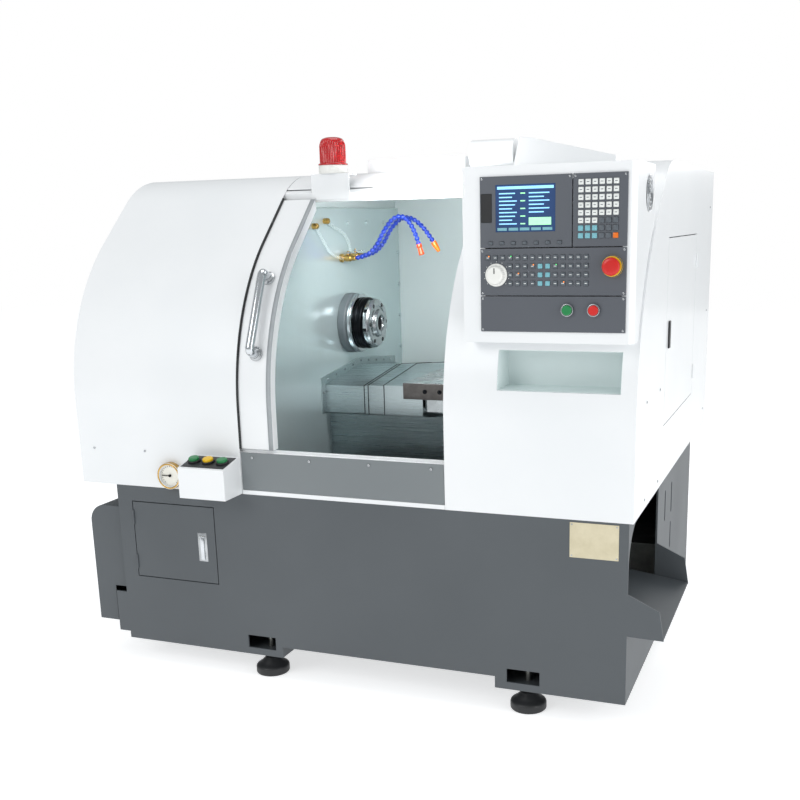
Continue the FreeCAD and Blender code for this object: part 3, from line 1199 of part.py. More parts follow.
def hose_run(name, start, index):
    """A jointed plastic hose that arches from its valve and ends in a nozzle."""
    out = value("valve_out")
    lift = (138, 128)[index]
    reach = (0, 32)[index]
    points = [start + Vector(*step) for step in (
        (out, 0, 0), (out + 40, 0, 4), (out + 82, 0, 40), (out + 110, 0, 92), (out + 150, 0, lift),
        (out + 192, 0, lift), (out + 226 + reach / 2, 0, 88), (out + 240 + reach, 0, 40))]
    thing = doc.addObject("Part::Feature", name)
    run = points[-1] - points[-2]
    nozzle = Part.makeCone(value("hose_radius"), value("hose_radius") - 3, 34, points[-1], run)
    thing.Shape = tube(name, points, value("hose_radius")).fuse(nozzle)
    return thing


def feed_run(name, start, index):
    """A clear feed tube that hangs from a wall fitting in a shallow curve to its valve."""
    x = value("hose_radius") + 6
    steps = (((x, -8, 0), (x, -60, 4), (x, -120, 30), (x, -170, 78), (x, -205, 112)),
             ((x, 0, 8), (x, -6, 48), (x, -60, 86), (x, -130, 100), (x, -180, 122)))[index]
    points = [start + Vector(*step) for step in steps]
    thing = doc.addObject("Part::Feature", name)
    fitting = Part.makeCylinder(value("hose_radius") + 3, x + 10, Vector(start.x, points[-1].y, points[-1].z),
                                Vector(1, 0, 0))
    thing.Shape = tube(name, points, value("hose_radius") - 1).fuse(fitting)
    return thing


def coolant_tank():
    """The tank under the chute, with the pump standing on its lid."""
    x = span("tank_x", "tank_length")
    y = ("base_rear - base_wall - 20 - tank_depth", "base_rear - base_wall - 20")
    z = span("tank_z", "tank_height")
    shell = cut("tank", box("tank_outer", x, y, z), box("tank_room", (x[0] + " + tank_wall", x[1] + " - tank_wall"),
                                                       (y[0] + " + tank_wall", y[1] + " - tank_wall"),
                                                       ("tank_z + tank_wall", "tank_z + tank_height - tank_wall")))
    pump = rod("pump", "z", ("tank_x + 110", "base_rear - 150", "tank_z + tank_height"), "60", "180")
    return node("coolant_tank", group("tank_parts", shell, pump))


# ---------------------------------------------------------------- roof

def roof_parts():
    """The low hood, the wedge-shaped duct and its round blower on the roof."""
    start = "brow_y + 1"
    hood = cut("hood", box("hood_outer", span("window_left + 105", "hood_length"), span(start, "hood_depth"),
                           span("cover_top", "hood_height")),
               box("hood_room", ("window_left + 107", "window_left + 103 + hood_length"),
                   ("brow_y + 3", "brow_y + hood_depth - 1"), ("cover_top - 1", "cover_top + hood_height - 2")))
    left = "pendant_left - 34"
    wedge = plate("wedge", "XZ", start + " + wedge_depth", "wedge_depth", [
        (left, "cover_top"), (left + " + wedge_length", "cover_top"),
        (left + " + wedge_length", "cover_top + wedge_low"), (left + " + 48", "cover_top + wedge_high"),
        (left + " + 20", "cover_top + wedge_high")])
    drum = rod("drum", "x", ("%s - drum_length" % left, start + " + wedge_depth / 2", "cover_top + drum_radius"),
               "drum_radius", "drum_length - 0.5")
    foot = box("drum_foot", ("%s - drum_length + 20" % left, "%s - 20" % left),
               about(start + " + wedge_depth / 2", "22"), span("cover_top", "12"))
    node("roof_housings", group("housings", hood, wedge, fuse("blower", drum, foot)))
    shelf_z = "base_top + header_rise + bracket_rise + 12"
    bracket_x = span("window_left - 18", "bracket_width")
    riser = box("bracket_riser", bracket_x, ("front + header_start - 6", "front + header_start"),
                ("base_top + header_rise + 6", shelf_z))
    shelf = box("bracket_shelf", bracket_x, ("front + header_start - 6", "front + header_start + 58"),
                span(shelf_z, "6"))
    x = "window_left + 50"
    y = "front + header_start + 26"
    base = rod("beacon_foot", "z", (x, y, "%s + 6" % shelf_z), "beacon_radius", "beacon_base_height")
    node("beacon_base", fuse("bracket", riser, shelf, base))
    low = shelf_z + " + 6 + beacon_base_height"
    node("beacon_lens", turned("lens", "z", (x, y, low), [
        (0, 0), ("beacon_radius + 3", 0), ("beacon_radius + 3", 5), ("beacon_radius - 3", 5),
        ("beacon_radius - 3", "beacon_height - 22", "22"), ("beacon_radius - 25", "beacon_height"),
        (0, "beacon_height")]))


def build():
    base_frame()
    levelling_feet()
    left_end_cover()
    chip_chute()
    hatch_door("base_door", "base_latch")
    left_cover()
    right_cover()
    roof_panel()
    rear_cover()
    sill()
    inner_liners()
    wall_plate()
    name_plate()
    side_door()
    electrical_panel()
    sliding_door()
    pendant_box()
    fan_rotor()
    display_unit()
    panel_plates()
    panel_controls()
    button_station()
    headstock()
    spindle_group()
    spindle_drive()
    bed()
    screw("z_screw", "x", ("wall_x + 36", "screw_y", "screw_z"), "bed_length - 78")
    screw("x_screw", "y", ("cross_x", "saddle_y", "cross_z"), "saddle_depth")
    node_middle = gable_cover("mid_cover", 1, span("wall_x + mid_cover_start", "mid_cover_length"))
    node("way_cover_middle", node_middle)
    node_outer = gable_cover("outer_cover", 2, span("wall_x + outer_cover_start", "outer_cover_length"))
    node("way_cover_outer", node_outer)
    saddle()
    cross_slide()
    coolant()
    coolant_tank()
    roof_parts()


def check_and_write():
    """Stops on any failed object, and writes each sub-part to its own file."""
    doc.recompute()
    for thing in doc.Objects:
        if "Invalid" in thing.State or "Error" in thing.State:
            raise RuntimeError("%s failed: %s" % (thing.Name, thing.State))
    os.makedirs("parts", exist_ok=True)
    for thing in NODES:
        if thing.Shape.isNull() or not thing.Shape.isValid():
            raise RuntimeError("%s has no sound shape" % thing.Label)
        thing.Shape.exportStep("parts/%s.step" % thing.Label)
        print(thing.Label, len(thing.Shape.Solids), round(thing.Shape.Volume / 1e6, 3))


build()
check_and_write()
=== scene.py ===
import json
import math

import bmesh
import bpy
import numpy as np
from bpy.props import FloatProperty, FloatVectorProperty, IntProperty, PointerProperty
from mathutils import Matrix, Vector

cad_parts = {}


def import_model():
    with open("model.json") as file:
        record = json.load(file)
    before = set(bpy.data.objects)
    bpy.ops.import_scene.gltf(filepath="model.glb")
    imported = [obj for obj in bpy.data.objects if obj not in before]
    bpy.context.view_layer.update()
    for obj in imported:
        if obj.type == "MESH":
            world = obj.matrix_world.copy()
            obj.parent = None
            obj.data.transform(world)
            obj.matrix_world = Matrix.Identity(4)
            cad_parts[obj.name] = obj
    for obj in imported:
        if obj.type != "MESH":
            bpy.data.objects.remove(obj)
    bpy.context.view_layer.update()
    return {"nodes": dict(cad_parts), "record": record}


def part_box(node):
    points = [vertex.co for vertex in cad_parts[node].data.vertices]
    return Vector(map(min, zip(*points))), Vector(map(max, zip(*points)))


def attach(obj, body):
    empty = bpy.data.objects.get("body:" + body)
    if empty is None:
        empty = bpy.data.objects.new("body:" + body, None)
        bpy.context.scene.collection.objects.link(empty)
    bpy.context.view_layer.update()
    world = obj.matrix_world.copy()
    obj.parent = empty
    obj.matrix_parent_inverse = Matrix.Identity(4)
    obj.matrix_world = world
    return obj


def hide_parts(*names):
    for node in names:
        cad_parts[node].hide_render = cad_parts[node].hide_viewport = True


bl_info = {
    "name": "Turning lathe",
    "version": (1, 0, 0),
    "blender": (4, 5, 0),
    "location": "View3D > Sidebar > Lathe",
    "description": "Builds the finished surfaces of a small slant-fronted turning lathe",
    "category": "Object",
}

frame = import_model()
BODY_OF = {node: body for body, nodes in frame["record"]["behaviour"]["bodies"].items() for node in nodes}
SLOT_OF = {part["node"]: part["material_slot"] for part in frame["record"]["subparts"]}


def low(node, axis):
    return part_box(node)[0]["xyz".index(axis)]


def high(node, axis):
    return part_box(node)[1]["xyz".index(axis)]


def middle(node):
    return np.array([(a + b) / 2 for a, b in zip(*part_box(node))])


def panel_face():
    """The depth of the control panel's front, which its knobs, rings and screws sit on."""
    return low("display_bezel", "y")


def wall_face():
    """The wall plate's face, without its folded edge."""
    return high("wall_plate", "x") - 0.006


# ---------------------------------------------------------------- colours and materials

def linear(code):
    """The linear colour of an sRGB hex value: c / 12.92 where dark, else ((c + 0.055) / 1.055) ** 2.4.
    A colour from the panel is linear already and passes through."""
    if not isinstance(code, str):
        return tuple(code)
    parts = [int(code[i:i + 2], 16) / 255 for i in (1, 3, 5)]
    return tuple(c / 12.92 if c <= 0.04045 else ((c + 0.055) / 1.055) ** 2.4 for c in parts) + (1.0,)


def add(tree, kind, links=None, **settings):
    """A node of a kind with its settings; links maps an input to a value or to another node's output."""
    node = tree.nodes.new(kind)
    for name, value in settings.items():
        setattr(node, name, value)
    for name, value in (links or {}).items():
        if isinstance(value, bpy.types.NodeSocket):
            tree.links.new(value, node.inputs[name])
        else:
            node.inputs[name].default_value = value
    return node


def surface_material(name, **shader):
    """A material with one Principled shader; the named values go straight onto its sockets."""
    material = bpy.data.materials.new(name)
    material.use_nodes = True
    tree = material.node_tree
    tree.nodes.clear()
    principled = add(tree, "ShaderNodeBsdfPrincipled", shader)
    add(tree, "ShaderNodeOutputMaterial", {"Surface": principled.outputs[0]})
    place = add(tree, "ShaderNodeTexCoord")
    return material, tree, principled, place.outputs["Object"]


def two_tone(tree, principled, factor, first, second, socket="Base Color"):
    """Mixes two colours by a factor and feeds the shader."""
    mix = add(tree, "ShaderNodeMix", {"Factor": factor, 6: linear(first), 7: linear(second)}, data_type="RGBA")
    tree.links.new(mix.outputs[2], principled.inputs[socket])


def spread(tree, factor, low_value, high_value):
    """Maps a factor of 0 to 1 onto a range."""
    return add(tree, "ShaderNodeMapRange", {"Value": factor, "To Min": low_value, "To Max": high_value}).outputs[0]


def powder_coat(name, colour, worn, grain, roughness, depth, gloss=0.0):
    """Powder-coated sheet: a baked polyester film with a fine orange peel.  It gives a soft, even sheen."""
    material, tree, principled, place = surface_material(
        name, Roughness=roughness, IOR=1.5, **{"Coat Weight": gloss, "Coat Roughness": 0.12})
    peel = add(tree, "ShaderNodeTexNoise", {"Vector": place, "Scale": 1 / grain, "Detail": 3.0})
    cloud = add(tree, "ShaderNodeTexNoise", {"Vector": place, "Scale": 1 / 0.42, "Detail": 4.0})
    two_tone(tree, principled, spread(tree, cloud.outputs[0], 0.0, 1.0), colour, worn)
    tree.links.new(spread(tree, cloud.outputs[0], roughness - 0.05, roughness + 0.07),
                   principled.inputs["Roughness"])
    bump = add(tree, "ShaderNodeBump", {"Height": peel.outputs[0], "Strength": 0.25, "Distance": depth})
    tree.links.new(bump.outputs[0], principled.inputs["Normal"])
    return material


def brushed_sheet(name, colour, dark, along, roughness, pitch=0.0016, metallic=1.0, mark=1.0):
    """Brushed stainless sheet: belt-ground lines one way.  It gives long soft streaks in the reflections."""
    material, tree, principled, place = surface_material(name, Metallic=metallic, Roughness=roughness,
                                                         Anisotropic=0.5)
    scale = [1 / pitch] * 3
    scale["xyz".index(along)] = 1 / 0.25
    lines = add(tree, "ShaderNodeMapping", {"Vector": place, "Scale": scale})
    brushed = add(tree, "ShaderNodeTexNoise", {"Vector": lines.outputs[0], "Scale": 1.0, "Detail": 3.0})
    cloud = add(tree, "ShaderNodeTexNoise", {"Vector": place, "Scale": 1 / 0.2, "Detail": 3.0})
    blend = add(tree, "ShaderNodeMath", {0: brushed.outputs[0], 1: cloud.outputs[0]}, operation="MULTIPLY")
    two_tone(tree, principled, spread(tree, blend.outputs[0], 0.2, 0.2 + 1.2 * mark), colour, dark)
    tree.links.new(spread(tree, brushed.outputs[0], roughness - 0.08 * mark, roughness + 0.12 * mark),
                   principled.inputs["Roughness"])
    bump = add(tree, "ShaderNodeBump", {"Height": brushed.outputs[0], "Strength": 0.2 * mark, "Distance": 0.00012})
    tree.links.new(bump.outputs[0], principled.inputs["Normal"])
    return material


def worked_metal(name, colour, dark, roughness, grain, depth, metallic=1.0):
    """Ground, turned, cast or plated metal: fine isotropic grain with faint handling marks."""
    material, tree, principled, place = surface_material(name, Metallic=metallic, Roughness=roughness)
    grit = add(tree, "ShaderNodeTexNoise", {"Vector": place, "Scale": 1 / grain, "Detail": 5.0})
    marks = add(tree, "ShaderNodeTexNoise", {"Vector": place, "Scale": 1 / 0.05, "Detail": 6.0,
                                             "Roughness": 0.7})
    two_tone(tree, principled, spread(tree, marks.outputs[0], -0.4, 1.3), colour, dark)
    tree.links.new(spread(tree, marks.outputs[0], max(roughness - 0.05, 0.02), roughness + 0.08),
                   principled.inputs["Roughness"])
    bump = add(tree, "ShaderNodeBump", {"Height": grit.outputs[0], "Strength": 0.3, "Distance": depth})
    tree.links.new(bump.outputs[0], principled.inputs["Normal"])
    return material


def moulded(name, colour, dark, roughness, grain=0.0011, depth=0.00008, **extra):
    """Injection-moulded plastic or rubber: spark-eroded grain that breaks up the highlight."""
    material, tree, principled, place = surface_material(name, Roughness=roughness, IOR=1.49, **extra)
    grit = add(tree, "ShaderNodeTexNoise", {"Vector": place, "Scale": 1 / grain, "Detail": 2.0})
    cloud = add(tree, "ShaderNodeTexNoise", {"Vector": place, "Scale": 1 / 0.03, "Detail": 3.0})
    two_tone(tree, principled, cloud.outputs[0], colour, dark)
    bump = add(tree, "ShaderNodeBump", {"Height": grit.outputs[0], "Strength": 0.25, "Distance": depth})
    tree.links.new(bump.outputs[0], principled.inputs["Normal"])
    return material


def clear_sheet(name, tint):
    """Clear polycarbonate sheet: extruded, faintly green at the edge, with wiping haze."""
    material, tree, principled, place = surface_material(
        name, **{"Base Color": linear(tint), "IOR": 1.585, "Transmission Weight": 0.0, "Alpha": 0.22})
    haze = add(tree, "ShaderNodeTexNoise", {"Vector": place, "Scale": 1 / 0.09, "Detail": 4.0})
    tree.links.new(spread(tree, haze.outputs[0], 0.03, 0.12), principled.inputs["Roughness"])
    return material


def screen_glass(name, ground, glow):
    """Bonded display glass: a dark field that fades slowly across, with a smooth gloss front."""
    material, tree, principled, place = surface_material(name, Roughness=0.12, IOR=1.52,
                                                         **{"Emission Strength": 0.35})
    cloud = add(tree, "ShaderNodeTexNoise", {"Vector": place, "Scale": 1 / 0.12, "Detail": 1.0})
    two_tone(tree, principled, cloud.outputs[0], ground, glow)
    two_tone(tree, principled, cloud.outputs[0], ground, glow, "Emission Color")
    return material


def lamp(name, colour, strength):
    """A lit indicator behind a moulded cap."""
    material, tree, principled, place = surface_material(name, Roughness=0.3,
                                                         **{"Emission Strength": strength})
    cloud = add(tree, "ShaderNodeTexNoise", {"Vector": place, "Scale": 1 / 0.01})
    dim = tuple(c * 0.8 for c in linear(colour)[:3]) + (1.0,)
    two_tone(tree, principled, cloud.outputs[0], colour, dim)
    two_tone(tree, principled, cloud.outputs[0], colour, dim, "Emission Color")
    return material


def studio_floor(name, colour, other):
    """A matt floor lit from below as well, so that it stays pale to its edge."""
    material, tree, principled, place = surface_material(
        name, Roughness=0.9, **{"Emission Color": (1, 1, 1, 1), "Emission Strength": 0.62})
    cloud = add(tree, "ShaderNodeTexNoise", {"Vector": place, "Scale": 1 / 0.6})
    two_tone(tree, principled, cloud.outputs[0], colour, other)
    return material


FINISH = {}


def make_finishes(colours):
    """One material for each real finish on the machine; the keys that match the record's slots dress its nodes."""
    FINISH.update({
        # baked polyester powder over steel sheet: even white with a faint peel
        "white_enamel": powder_coat("polyester_powder_white", colours.cover_enamel, "#E3E6E8", 0.004, 0.34,
                                    0.00010, 0.3),
        # textured powder over the welded base: a darker, drier grey
        "grey_enamel": powder_coat("textured_powder_grey", colours.base_enamel, "#4B5054", 0.0022, 0.5, 0.00016),
        # belt-ground stainless lining: upright lines on the walls, with the greenish tint of the work lamp's light
        # painted into its colour
        "bright_steel": brushed_sheet("brushed_stainless", "#DDEAEB", "#B5C6C9", "z", 0.24, 0.0022, 0.6, 0.35),
        # bake-painted white lining sheets, with the greenish tint of the work lamp's light painted into their colour
        "lining_enamel": powder_coat("lining_enamel", "#E2ECEB", "#D5E1E1", 0.004, 0.4, 0.0001),
        # the sill's own paint: a mid grey, smoother than the base
        "sill_enamel": powder_coat("smooth_powder_grey", "#7B8183", "#71777A", 0.003, 0.36, 0.0001),
        "cover_steel": brushed_sheet("brushed_way_cover_steel", "#C6D2D4", "#8F9B9E", "x", 0.27, mark=0.5),
        "zinc_steel": worked_metal("zinc_plated_steel", "#B9BBB6", "#8E908C", 0.42, 0.004, 0.00005),
        "cast_grey": powder_coat("machine_enamel_on_iron", "#6E777B", "#565E62", 0.003, 0.45, 0.0002),
        "ground_steel": worked_metal("surface_ground_steel", "#C2C8CA", "#8E9496", 0.26, 0.002, 0.00004),
        # a dark brownish grey for the plate over the cross slide's front face
        "dark_front_steel": worked_metal("dark_front_flat_bar", "#6E6B69", "#4A4746", 0.42, 0.003, 0.00008),
        "chrome_plate": worked_metal("chromium_plate", "#DADDE0", "#C2C6CA", 0.1, 0.006, 0.00001),
        "satin_steel": worked_metal("turned_satin_steel", "#C9CCCE", "#96999C", 0.24, 0.0012, 0.00002),
        "black_oxide": worked_metal("black_oxide_steel", "#26282B", "#141517", 0.34, 0.002, 0.00003),
        "panel_black": powder_coat("matt_panel_film", "#585C63", "#4F535A", 0.0016, 0.42, 0.00004),
        "plate_black": powder_coat("matt_station_film", "#24272A", "#1B1D20", 0.0016, 0.42, 0.00004),
        "screen_glass": screen_glass("display_glass", "#20304F", "#2B4A7A"),
        "key_white": moulded("moulded_abs_white", "#E9ECEA", "#DADDDA", 0.4),
        "key_grey": moulded("moulded_abs_grey", "#5A6168", "#4C535A", 0.42),
        "key_cyan": moulded("moulded_abs_cyan", "#7FB9C4", "#6AA6B2", 0.4),
        "knob_white": moulded("moulded_knob_abs", "#F0F0EC", "#E2E2DD", 0.35),
        "red_plastic": moulded("moulded_red_nylon", "#D8251F", "#B81A16", 0.28),
        "green_plastic": moulded("moulded_green_nylon", "#1E8A4C", "#17703D", 0.28),
        "yellow_plastic": moulded("moulded_yellow_nylon", "#F2C518", "#DDB010", 0.3),
        "orange_plastic": moulded("moulded_orange_acetal", "#F07A1C", "#D96710", 0.3),
        "flame_plastic": moulded("moulded_vermilion_acetal", "#E8501C", "#CF4012", 0.3),
        "grey_seal": moulded("extruded_grey_seal", "#A9AEB1", "#979CA0", 0.6, 0.002, 0.0001),
        "black_plastic": moulded("moulded_black_nylon", "#1D1E20", "#131415", 0.45),
        # black rubber for the pane seals; the same material makes the tubes that paint the shade in the left cover's
        # seam and in the gaps between the way covers
        "rubber_seal_and_shade_tube": moulded("extruded_rubber_seal_and_shade_tube", "#2B2D2F", "#1F2022", 0.7, 0.002, 0.0001),
        "belt_rubber": moulded("belt_rubber", "#191A1B", "#101112", 0.7, 0.002, 0.0002),
        "clear_sheet": clear_sheet("clear_polycarbonate", "#DDEFEF"),
        # tinted acrylic dome over a lamp: saturated red that stays bright in its ribs
        "red_lens": moulded("tinted_acrylic_red", colours.beacon_lens, "#A30A0C", 0.1, 0.004, 0.00003,
                            **{"Coat Weight": 0.5}),
        "blue_hose": moulded("moulded_acetal_blue", colours.coolant_links, "#152E8E", 0.3),
        "brass_fitting": worked_metal("turned_brass", "#D9B36A", "#A98340", 0.25, 0.002, 0.00003),
        "foot_iron": powder_coat("foot_enamel", "#1C1D1F", "#2A2B2D", 0.003, 0.45, 0.0002),
        "name_plate": worked_metal("etched_aluminium", "#D8CFB4", "#C4BA9C", 0.4, 0.003, 0.00003, 0.4),
        "dial_white": moulded("enamelled_dial", "#F1EFE6", "#E6E3D8", 0.3),
        "lamp_orange": lamp("lit_amber", "#FF8A2A", 1.6),
        "lamp_green": lamp("lit_green", "#58E07A", 1.0),
        "lamp_blue": lamp("lit_display_blue", "#8FD0FF", 0.9),
        "lamp_white": lamp("lit_display_green", "#9BE8B0", 0.9),
        "stage": studio_floor("studio_floor", "#E8E9EA", "#E4E5E6"),
    })


# ---------------------------------------------------------------- surfaces

def grid_faces(rows, columns, wrap=False):
    """Quads of a rows by columns grid of points; wrap joins the last column to the first."""
    r = np.arange(rows - 1)[:, None] * columns
    c = np.arange(columns if wrap else columns - 1)[None, :]
    n = (c + 1) % columns
    return np.stack([r + c, r + n, r + columns + n, r + columns + c], -1).reshape(-1, 4)


def grid(points, wrap=False, flip=False):
    """A surface from an array of points[row, column]; it faces column direction cross row direction."""
    faces = grid_faces(points.shape[0], points.shape[1], wrap)
    return points.reshape(-1, 3), faces[:, ::-1] if flip else faces


def joined(*surfaces):
    """Several surfaces as one set of points and faces."""
    points, faces, start = [], [], 0
    for p, f in surfaces:
        points.append(p)
        faces.append(f + start)
        start += len(p)
    return np.vstack(points), np.vstack(faces)


def piece(name, surface, finish, node, sheet=0.0, bevel=0.0, closed=True, sharp=32):
    """Makes a mesh from points and quads, closes its seams, smooths it up to an angle and rides its body."""
    points, faces = surface
    mesh = bpy.data.meshes.new(name)
    mesh.from_pydata(points.tolist(), [], faces.tolist())
    work = bmesh.new()
    work.from_mesh(mesh)
    bmesh.ops.remove_doubles(work, verts=work.verts, dist=2e-6)
    bmesh.ops.dissolve_degenerate(work, edges=work.edges, dist=1e-6)
    if closed and not sheet:
        bmesh.ops.recalc_face_normals(work, faces=work.faces)
    work.to_mesh(mesh)
    work.free()
    return finished(name, mesh, finish, node, sheet, bevel, sharp)


def finished(name, mesh, finish, node, sheet=0.0, bevel=0.0, sharp=32):
    """The piece's object with its modifiers and material, riding on the body of a CAD node."""
    mesh.shade_smooth()
    mesh.set_sharp_from_angle(angle=math.radians(sharp))
    thing = bpy.data.objects.new(name, mesh)
    bpy.context.scene.collection.objects.link(thing)
    if sheet:
        wall = thing.modifiers.new("wall", "SOLIDIFY")
        wall.thickness = sheet
        wall.offset = -1.0
        wall.use_even_offset = True
    if bevel:
        edge = thing.modifiers.new("edge", "BEVEL")
        edge.width = bevel
        edge.segments = 2
        edge.limit_method = "ANGLE"
        edge.angle_limit = math.radians(35)
        edge.harden_normals = True
    mesh.materials.append(FINISH[finish])
    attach(thing, BODY_OF[node])
    return thing


def refined(node, finish, bevel=0.0, sharp=30, name=None):
    """A CAD node's own shape, merged from its loose triangles, with soft edges; it stands for the node."""
    source = frame["nodes"][node]
    work = bmesh.new()
    work.from_mesh(source.data)
    bmesh.ops.remove_doubles(work, verts=work.verts, dist=5e-6)
    bmesh.ops.dissolve_limit(work, angle_limit=math.radians(0.5), verts=work.verts, edges=work.edges)
    mesh = bpy.data.meshes.new(node + "_surface")
    work.to_mesh(mesh)
    work.free()
    thing = finished(name or node + "_finished", mesh, finish, node, 0.0, bevel, sharp)
    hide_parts(node)
    return thing


def turned(profile, origin, axis, sides=72):
    """A turned surface: origin + a * axis + r * (cos t * u + sin t * v), for each (r, a) of the profile."""
    w = np.array(axis, float)
    w /= np.linalg.norm(w)
    u = np.cross(w, [0, 0, 1] if abs(w[2]) < 0.9 else [1, 0, 0])
    u /= np.linalg.norm(u)
    v = np.cross(w, u)
    t = np.linspace(0, 2 * np.pi, sides, endpoint=False)
    around = np.cos(t)[:, None] * u + np.sin(t)[:, None] * v
    r, a = np.array(profile, float).T
    points = np.array(origin, float) + a[:, None, None] * w + r[:, None, None] * around
    return grid(points, wrap=True)


def eased(corners, radius, steps=4):
    """A profile with its inner corners rounded: each corner becomes an arc of points on a quadratic curve."""
    p = np.array(corners, float)
    s = np.linspace(0, 1, steps)[:, None]
    out = [p[:1]]
    for before, here, after in zip(p[:-2], p[1:-1], p[2:]):
        a, b = before - here, after - here
        reach = min(radius, np.linalg.norm(a) * 0.45, np.linalg.norm(b) * 0.45)
        start = here + a / max(np.linalg.norm(a), 1e-9) * reach
        end = here + b / max(np.linalg.norm(b), 1e-9) * reach
        out.append((1 - s) ** 2 * start + 2 * s * (1 - s) * here + s ** 2 * end)
    out.append(p[-1:])
    return np.vstack(out)


def swept(path, radius, sides=20, side=(0, 1, 0)):
    """A tube: path(s) + r(s) * (cos t * n + sin t * b), with n and b square to the path; its ends are closed."""
    path = np.array(path, float)
    radius = np.broadcast_to(np.array(radius, float), (len(path),))
    tangent = np.gradient(path, axis=0)
    tangent /= np.linalg.norm(tangent, axis=1, keepdims=True)
    b = np.cross(tangent, np.array(side, float))
    b /= np.linalg.norm(b, axis=1, keepdims=True)
    n = np.cross(b, tangent)
    t = np.linspace(0, 2 * np.pi, sides, endpoint=False)
    ring = np.cos(t)[None, :, None] * n[:, None] + np.sin(t)[None, :, None] * b[:, None]
    points = path[:, None] + radius[:, None, None] * ring
    ends = [np.repeat(path[i][None, None], sides, 1) for i in (0, -1)]
    return grid(np.concatenate([ends[0], points, ends[1]]), wrap=True)


def rounded_block(centre, size, radius, steps=3):
    """A block with round edges: centre + sign * (half - r) + r * n, over the directions n of a sphere."""
    half = np.array(size, float) / 2
    radius = min(radius, half.min() * 0.98)
    arc = np.linspace(0, np.pi / 2, steps)
    around = np.concatenate([arc + q * np.pi / 2 for q in range(4)])
    sign_x = np.repeat([1, -1, -1, 1], steps)
    sign_y = np.repeat([1, 1, -1, -1], steps)
    rise = np.concatenate([arc - np.pi / 2, arc])
    sign_z = np.repeat([-1, 1], steps)
    n = np.stack([np.cos(rise)[:, None] * np.cos(around), np.cos(rise)[:, None] * np.sin(around),
                  np.repeat(np.sin(rise)[:, None], len(around), 1)], -1)
    sign = np.stack(np.broadcast_arrays(sign_x[None], sign_y[None], sign_z[:, None]), -1)
    points = np.array(centre, float) + sign * (half - radius) + radius * n
    caps = []
    for row, order in ((points[0], (3, 2, 1, 0)), (points[-1], (0, 1, 2, 3))):
        corners = row[::steps][list(order)]
        caps.append((corners, np.array([[0, 1, 2, 3]])))
    return joined(grid(points, wrap=True), *caps)


def between(lows, highs, radius=0.001):
    """A rounded block from its lowest to its highest corner."""
    lows, highs = np.array(lows, float), np.array(highs, float)
    return rounded_block((lows + highs) / 2, highs - lows, radius)


def repeated(surface, centres):
    """One small surface copied to many places: points + centre, as one array."""
    points, faces = surface
    centres = np.array(centres, float)
    many = points[None] + centres[:, None]
    shift = np.arange(len(centres))[:, None, None] * len(points)
    return many.reshape(-1, 3), (faces[None] + shift).reshape(-1, 4)


def screw_head(axis, radius, height, sides=16):
    """A socket screw's head: a turned cap with a chamfer and a round turned hollow, worked from two profiles."""
    cap = turned([(0, 0), (radius, 0), (radius, height * 0.8), (radius * 0.85, height)], (0, 0, 0), axis, sides)
    socket = turned([(radius * 0.85, height), (radius * 0.5, height), (radius * 0.5, height * 0.35),
                     (0, height * 0.35)], (0, 0, 0), axis, sides)
    return joined(cap, socket)


# ---------------------------------------------------------------- sizes and colours that a user may change

class LatheSizes(bpy.types.PropertyGroup):
    """Radii, walls and spacings of the finished surfaces."""

    bend_radius: FloatProperty(name="Front bend radius", description="Radius of the covers' long front bend",
                               default=0.690, unit="LENGTH")
    brow_radius: FloatProperty(name="Brow radius", description="Radius between the front and the roof",
                               default=0.300, unit="LENGTH")
    rake: FloatProperty(name="Rake", description="Angle that the long bend turns through",
                        default=math.radians(47.5), subtype="ANGLE")
    rake_length: FloatProperty(name="Rake length", description="Straight stretch between bend and brow",
                               default=0.203, unit="LENGTH")
    sheet_wall: FloatProperty(name="Sheet wall", description="Thickness of the folded cover sheet",
                              default=0.003, unit="LENGTH")
    fold_radius: FloatProperty(name="Fold radius", description="Radius of the covers' folded edges",
                               default=0.003, unit="LENGTH")
    door_depth: FloatProperty(name="Door depth", description="Depth of the sliding door's folded edge",
                              default=0.030, unit="LENGTH")
    hose_radius: FloatProperty(name="Hose radius", description="Radius of the coolant hose's links",
                               default=0.0085, unit="LENGTH")
    link_pitch: FloatProperty(name="Link pitch", description="Length of one link of the coolant hose",
                              default=0.0155, unit="LENGTH")
    lens_ribs: IntProperty(name="Lens ribs", description="Upright flutes round the warning light's lens",
                           default=36)
    door_width: FloatProperty(name="Stile width", description="Width of the door's solid stile",
                              default=0.119, unit="LENGTH")


class LatheColours(bpy.types.PropertyGroup):
    """Colours that a buyer could order."""

    cover_enamel: FloatVectorProperty(name="Cover enamel", description="Powder coat of the upper covers",
                                      subtype="COLOR", size=4, min=0, max=1, default=linear("#F1F2F3"))
    base_enamel: FloatVectorProperty(name="Base enamel", description="Powder coat of the base and sill",
                                     subtype="COLOR", size=4, min=0, max=1, default=linear("#565B5F"))
    beacon_lens: FloatVectorProperty(name="Beacon lens", description="Tint of the warning light",
                                     subtype="COLOR", size=4, min=0, max=1, default=linear("#C9141A"))
    coolant_links: FloatVectorProperty(name="Coolant links", description="Colour of the coolant hose's links",
                                       subtype="COLOR", size=4, min=0, max=1, default=linear("#1D3FB4"))


def sizes():
    return bpy.context.scene.lathe_sizes


# ---------------------------------------------------------------- enclosure

